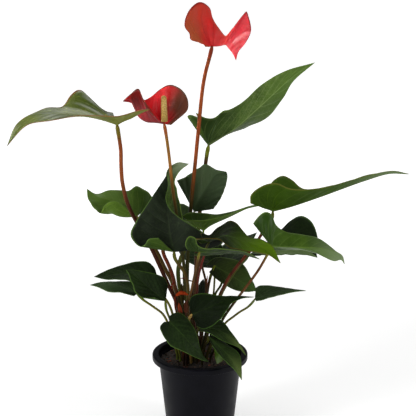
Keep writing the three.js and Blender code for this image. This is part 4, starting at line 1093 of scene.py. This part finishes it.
def spindle(radius):
    """Thickest in the middle, and thin at both ends."""

    def at(reached, length):
        return radius * (0.35 + math.sin(math.pi * min(0.98, reached / length + 0.02)))

    return at


for name, (route, radius, code) in TENDRILS.items():
    shape = Shape()
    tube(shape, [seen(p) for p in route], spindle(radius), 0, sides=8, spacing=0.8)
    piece = shape.made(name, [sheath_material(name, tint(code), tint(code, 0.6), tint(code, 0.8))])
    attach(piece, "root")

# ---------------------------------------------------------------- pot and peat


def lathe(shape, profile_points, sides):
    """A closed skin turned about the upright axis from (radius, height) pairs, foot first."""
    rings, points = [], []
    for radius, height in profile_points:
        if radius < 1e-6:
            rings.append([len(points)] * sides)
            points.append((0, 0, height))
        else:
            rings.append(list(range(len(points), len(points) + sides)))
            for k in range(sides):
                turn = 2 * math.pi * k / sides
                points.append((radius * math.cos(turn), radius * math.sin(turn), height))
    faces, places = [], []
    for i in range(len(rings) - 1):
        for k in range(sides):
            nxt = (k + 1) % sides
            ring = [rings[i][k], rings[i][nxt], rings[i + 1][nxt], rings[i + 1][k]]
            face = list(dict.fromkeys(ring))
            if len(face) > 2:
                faces.append(face)
                places.append([(k / sides, i / len(rings))] * len(face))
    shape.add(points, faces, places)


def rounded(profile_points, size):
    """The profile with each corner cut back and given a small arc."""
    out = [profile_points[0]]
    for before, corner, after in zip(profile_points, profile_points[1:], profile_points[2:]):
        before, corner, after = (np.array(p, float) for p in (before, corner, after))
        reach = min(size, 0.45 * np.linalg.norm(corner - before), 0.45 * np.linalg.norm(after - corner))
        start, end = corner + unit(before - corner) * reach, corner + unit(after - corner) * reach
        for t in (0, 0.33, 0.67, 1):
            out.append(tuple((1 - t) ** 2 * start + 2 * t * (1 - t) * corner + t**2 * end))
    return [*out, profile_points[-1]]


rim_radius = RIM_DIAMETER / 2
mouth_radius = rim_radius - RIM_WIDTH
base_radius = BASE_DIAMETER / 2
shoulder = POT_HEIGHT - RIM_DEPTH
POT_PROFILE = [
    (0, 0), (base_radius - 1, 0), (base_radius, 1), (mouth_radius - 0.8, shoulder - 1.5),
    (mouth_radius + 0.6, shoulder), (mouth_radius + 0.8, POT_HEIGHT - 2.2),
    (rim_radius - 1.8, POT_HEIGHT - 2.2), (rim_radius - 1.8, shoulder), (rim_radius - 0.3, shoulder),
    (rim_radius, shoulder + 0.6), (rim_radius, POT_HEIGHT - 1.4), (rim_radius - 1.2, POT_HEIGHT),
    (mouth_radius + 0.2, POT_HEIGHT), (mouth_radius - 0.8, POT_HEIGHT - 0.8),
    (mouth_radius - 1.0, shoulder), (mouth_radius - WALL - 1, shoulder - 2),
    (base_radius - WALL, FLOOR + 1), (base_radius - WALL - 1, FLOOR), (0, FLOOR),
]
shape = Shape()
lathe(shape, rounded(POT_PROFILE, 0.7), 128)
pot_skin = plain_material(
    "pot_plastic", "0c0c13", "07070d", 40, 0.4,
    [(300, 0.12, 0.3), (1400, 0.16, 0.12)], Specular_IOR_Level=0.08,
)
pot = shape.made("pot_dressed", [pot_skin])

# The drain holes are cut by columns that reach CUTTER_REACH mm above and below the pot's foot
CUTTER_REACH = 8
CREASE_ANGLE = math.radians(40)
cutters = Shape()
for k in range(DRAIN_HOLES):
    turn = 2 * math.pi * k / DRAIN_HOLES
    route = [
        np.array([DRAIN_CIRCLE * math.cos(turn), DRAIN_CIRCLE * math.sin(turn), height])
        for height in (-CUTTER_REACH, 0, CUTTER_REACH)
    ]
    tube(cutters, route, lambda *_: DRAIN_RADIUS, 0, sides=32, spacing=8, knob=False)
cutter = cutters.made("drain_cutters", [])
hollowed = pot.modifiers.new("drain_holes", "BOOLEAN")
hollowed.operation, hollowed.solver, hollowed.object = "DIFFERENCE", "EXACT", cutter
bpy.context.view_layer.update()
evaluated = pot.evaluated_get(bpy.context.evaluated_depsgraph_get())
drilled = bpy.data.meshes.new_from_object(evaluated)
pot.modifiers.clear()
pot.data = drilled
bpy.data.objects.remove(cutter)
split = pot.modifiers.new("crisp", "EDGE_SPLIT")
split.split_angle = CREASE_ANGLE
stand_for(pot, "pot")

# Lumps in the peat: how far apart and how high they are in mm, and where in the noise they start
LUMPS = ((9, 1.8, 3.1), (3.2, 1.0, 7.7), (1.3, 0.5, 1.9))
PEAT_ROWS, PEAT_SIDES = 46, 132
CRUMBS, CRUMB_SEED = 520, 11
# The share of its size at which each ring of a crumb lies, and the ring's width
CRUMB_RINGS = ((-1, 0.2), (-0.5, 0.9), (0.35, 1.0), (1, 0.3))
CRUMB_CORNERS = 6


def wall_at(height):
    """The pot's inner radius at a height."""
    share = (height - FLOOR) / (shoulder - 2 - FLOOR)
    return base_radius - WALL + (mouth_radius - 1 - base_radius) * share


def peat_height(x, y):
    reach = math.hypot(x, y) / mouth_radius
    crown = SOIL_CROWN * (1 - reach**2)
    lumps = [rise * noise.noise(Vector((x / gap, y / gap, start))) for gap, rise, start in LUMPS]
    return SOIL_LEVEL + crown + sum(lumps)


shape = Shape()
bottom = FLOOR + 0.8
peat_profile = [
    (0, bottom), (wall_at(bottom) - 2, bottom), (wall_at(bottom + 3) - 1, bottom + 3),
    (wall_at(SOIL_LEVEL) - 1, SOIL_LEVEL - 4),
]
lathe(shape, peat_profile, 96)
edge = wall_at(SOIL_LEVEL) - 0.6
points = [(0, 0, peat_height(0, 0))]
for i in range(1, PEAT_ROWS + 1):
    radius = edge * (i / PEAT_ROWS) ** 0.8
    for k in range(PEAT_SIDES):
        turn = 2 * math.pi * (k + 0.5 * (i % 2)) / PEAT_SIDES
        x, y = radius * math.cos(turn), radius * math.sin(turn)
        points.append((x, y, peat_height(x, y)))
for k in range(PEAT_SIDES):
    turn = 2 * math.pi * k / PEAT_SIDES
    points.append((edge * math.cos(turn), edge * math.sin(turn), SOIL_LEVEL - 6))
faces = [[0, 1 + k, 1 + (k + 1) % PEAT_SIDES] for k in range(PEAT_SIDES)]
for i in range(PEAT_ROWS):
    for k in range(PEAT_SIDES):
        low, nxt = 1 + i * PEAT_SIDES + k, 1 + i * PEAT_SIDES + (k + 1) % PEAT_SIDES
        faces.append([low, low + PEAT_SIDES, nxt + PEAT_SIDES, nxt])
shape.add(points, faces, [[(0, 0)] * len(face) for face in faces])


def crumb(shape, centre, size, rng, material):
    """A rough lump with its corners pushed about."""
    turn = rng.random() * 6.28
    stretch = (0.7 + rng.random() * 0.9, 0.6 + rng.random() * 0.6, 0.45 + rng.random() * 0.4)
    rings = []
    for level, width in CRUMB_RINGS:
        ring = []
        for k in range(CRUMB_CORNERS):
            angle = turn + 2 * math.pi * k / CRUMB_CORNERS + level * 0.4
            reach = size * width * (0.75 + 0.5 * rng.random())
            rise = size * level * (0.8 + 0.4 * rng.random())
            out = (reach * math.cos(angle), reach * math.sin(angle), rise)
            ring.append([middle + share * step for middle, share, step in zip(centre, stretch, out)])
        rings.append(ring)
    shape.add_rings(rings, [(0, 0)] * len(rings), material)


rng = random.Random(CRUMB_SEED)
for _ in range(CRUMBS):
    radius, turn = (edge - 2.5) * math.sqrt(rng.random()), rng.random() * 2 * math.pi
    x, y = radius * math.cos(turn), radius * math.sin(turn)
    size = 0.6 + 1.6 * rng.random() ** 2
    kind = rng.choice([0, 0, 1, 1, 2])
    crumb(shape, (x, y, peat_height(x, y) + 0.2 * size), size, rng, kind)
peat_skins = [
    plain_material("peat", "2e231b", "16110d", 140, 0.85, [(240, 0.7, 1.2), (900, 0.6, 0.5)]),
    plain_material("peat_crumb", "483629", "261d16", 300, 0.85, [(700, 0.6, 0.6)]),
    plain_material("peat_bark", "783e28", "462418", 260, 0.75, [(600, 0.6, 0.6)]),
]
stand_for(shape.made("peat_dressed", peat_skins, smooth=True), "soil")

# ---------------------------------------------------------------- floor, light and camera

FLOOR_REACH = 30
FLOOR_GLOW_NEAR, FLOOR_GLOW_FAR = 0.37, 0.66
WORLD_GLOW = 0.16
SENSOR = 36
# The name, the place, what it faces, the width, the height, the power and the spread in degrees
SOFTBOXES = [
    ("key_left", (-1.3, -1.0, 1.1), (0, 0, 0.3), 0.45, 1.3, 15, 180),
    ("fill_right", (1.35, -0.8, 0.9), (0, 0, 0.3), 0.4, 1.2, 9, 180),
    ("top", (0.0, 0.75, 1.9), (0, 0, 0.3), 1.2, 1.5, 16, 180),
    ("flower_glint", (-1.34, 0.02, 0.72), (0.09, -0.02, 0.56), 0.4, 0.4, 0.34, 12),
    ("spathe_glint", (-0.92, -1.21, 0.73), (-0.09, -0.01, 0.45), 0.3, 0.3, 0.04, 8),
    ("backdrop_wash", (0.0, 7.5, 3.0), (0, 7.5, 0), 12, 10, 110, 70),
    ("near_wash", (0.0, 2.4, 1.8), (0, 2.4, 0), 7, 2.6, 6, 60),
]


def floor_material():
    """A pale floor that glows a little, and more so away from the pot, like one lit from below."""
    n = Nodes("pale_floor")
    away = n.node("ShaderNodeVectorMath", operation="LENGTH")
    n.put(n.where(), away.inputs[0])
    glow = n.band(away.outputs["Value"], 0.5, 1.4, FLOOR_GLOW_NEAR, FLOOR_GLOW_FAR)
    n.put(glow, n.shader.inputs["Emission Strength"])
    n.bump((n.noise(40), 0.02, 0.5))
    colour = n.mix(n.noise(3), tint("f6f6f6"), tint("f9f9f9"))
    return n.finish(colour, 0.7, Emission_Color=(1, 1, 1, 1))


plane = bpy.data.meshes.new("floor")
corners = [(x * FLOOR_REACH, y * FLOOR_REACH, 0) for x, y in ((-1, -1), (1, -1), (1, 1), (-1, 1))]
plane.from_pydata(corners, [], [(0, 1, 2, 3)])
floor = bpy.data.objects.new("floor", plane)
bpy.context.collection.objects.link(floor)
plane.materials.append(floor_material())

world = bpy.context.scene.world or bpy.data.worlds.new("studio")
bpy.context.scene.world = world
world.use_nodes = True
background = world.node_tree.nodes["Background"]
background.inputs[0].default_value = (1, 1, 1, 1)
background.inputs[1].default_value = WORLD_GLOW


for name, place, aim, width, height, power, spread in SOFTBOXES:
    data = bpy.data.lights.new(name, "AREA")
    data.spread = math.radians(spread)
    data.shape, data.size, data.size_y, data.energy = "RECTANGLE", width, height, power
    lamp = bpy.data.objects.new(name, data)
    bpy.context.collection.objects.link(lamp)
    lamp.location = place
    lamp.rotation_euler = (Vector(aim) - Vector(place)).to_track_quat("-Z", "Y").to_euler()

lens = bpy.data.cameras.new("camera")
lens.sensor_width = SENSOR
lens.lens = SENSOR * VIEW_FOCAL / VIEW_SIZE
lens.clip_start, lens.clip_end = 0.05, 100
camera = bpy.data.objects.new("camera", lens)
bpy.context.collection.objects.link(camera)
camera.location = eye / 1000
camera.rotation_euler = (math.pi / 2 - VIEW_PITCH, 0, 0)
bpy.context.scene.camera = camera
bpy.context.scene.view_settings.view_transform = "Standard"
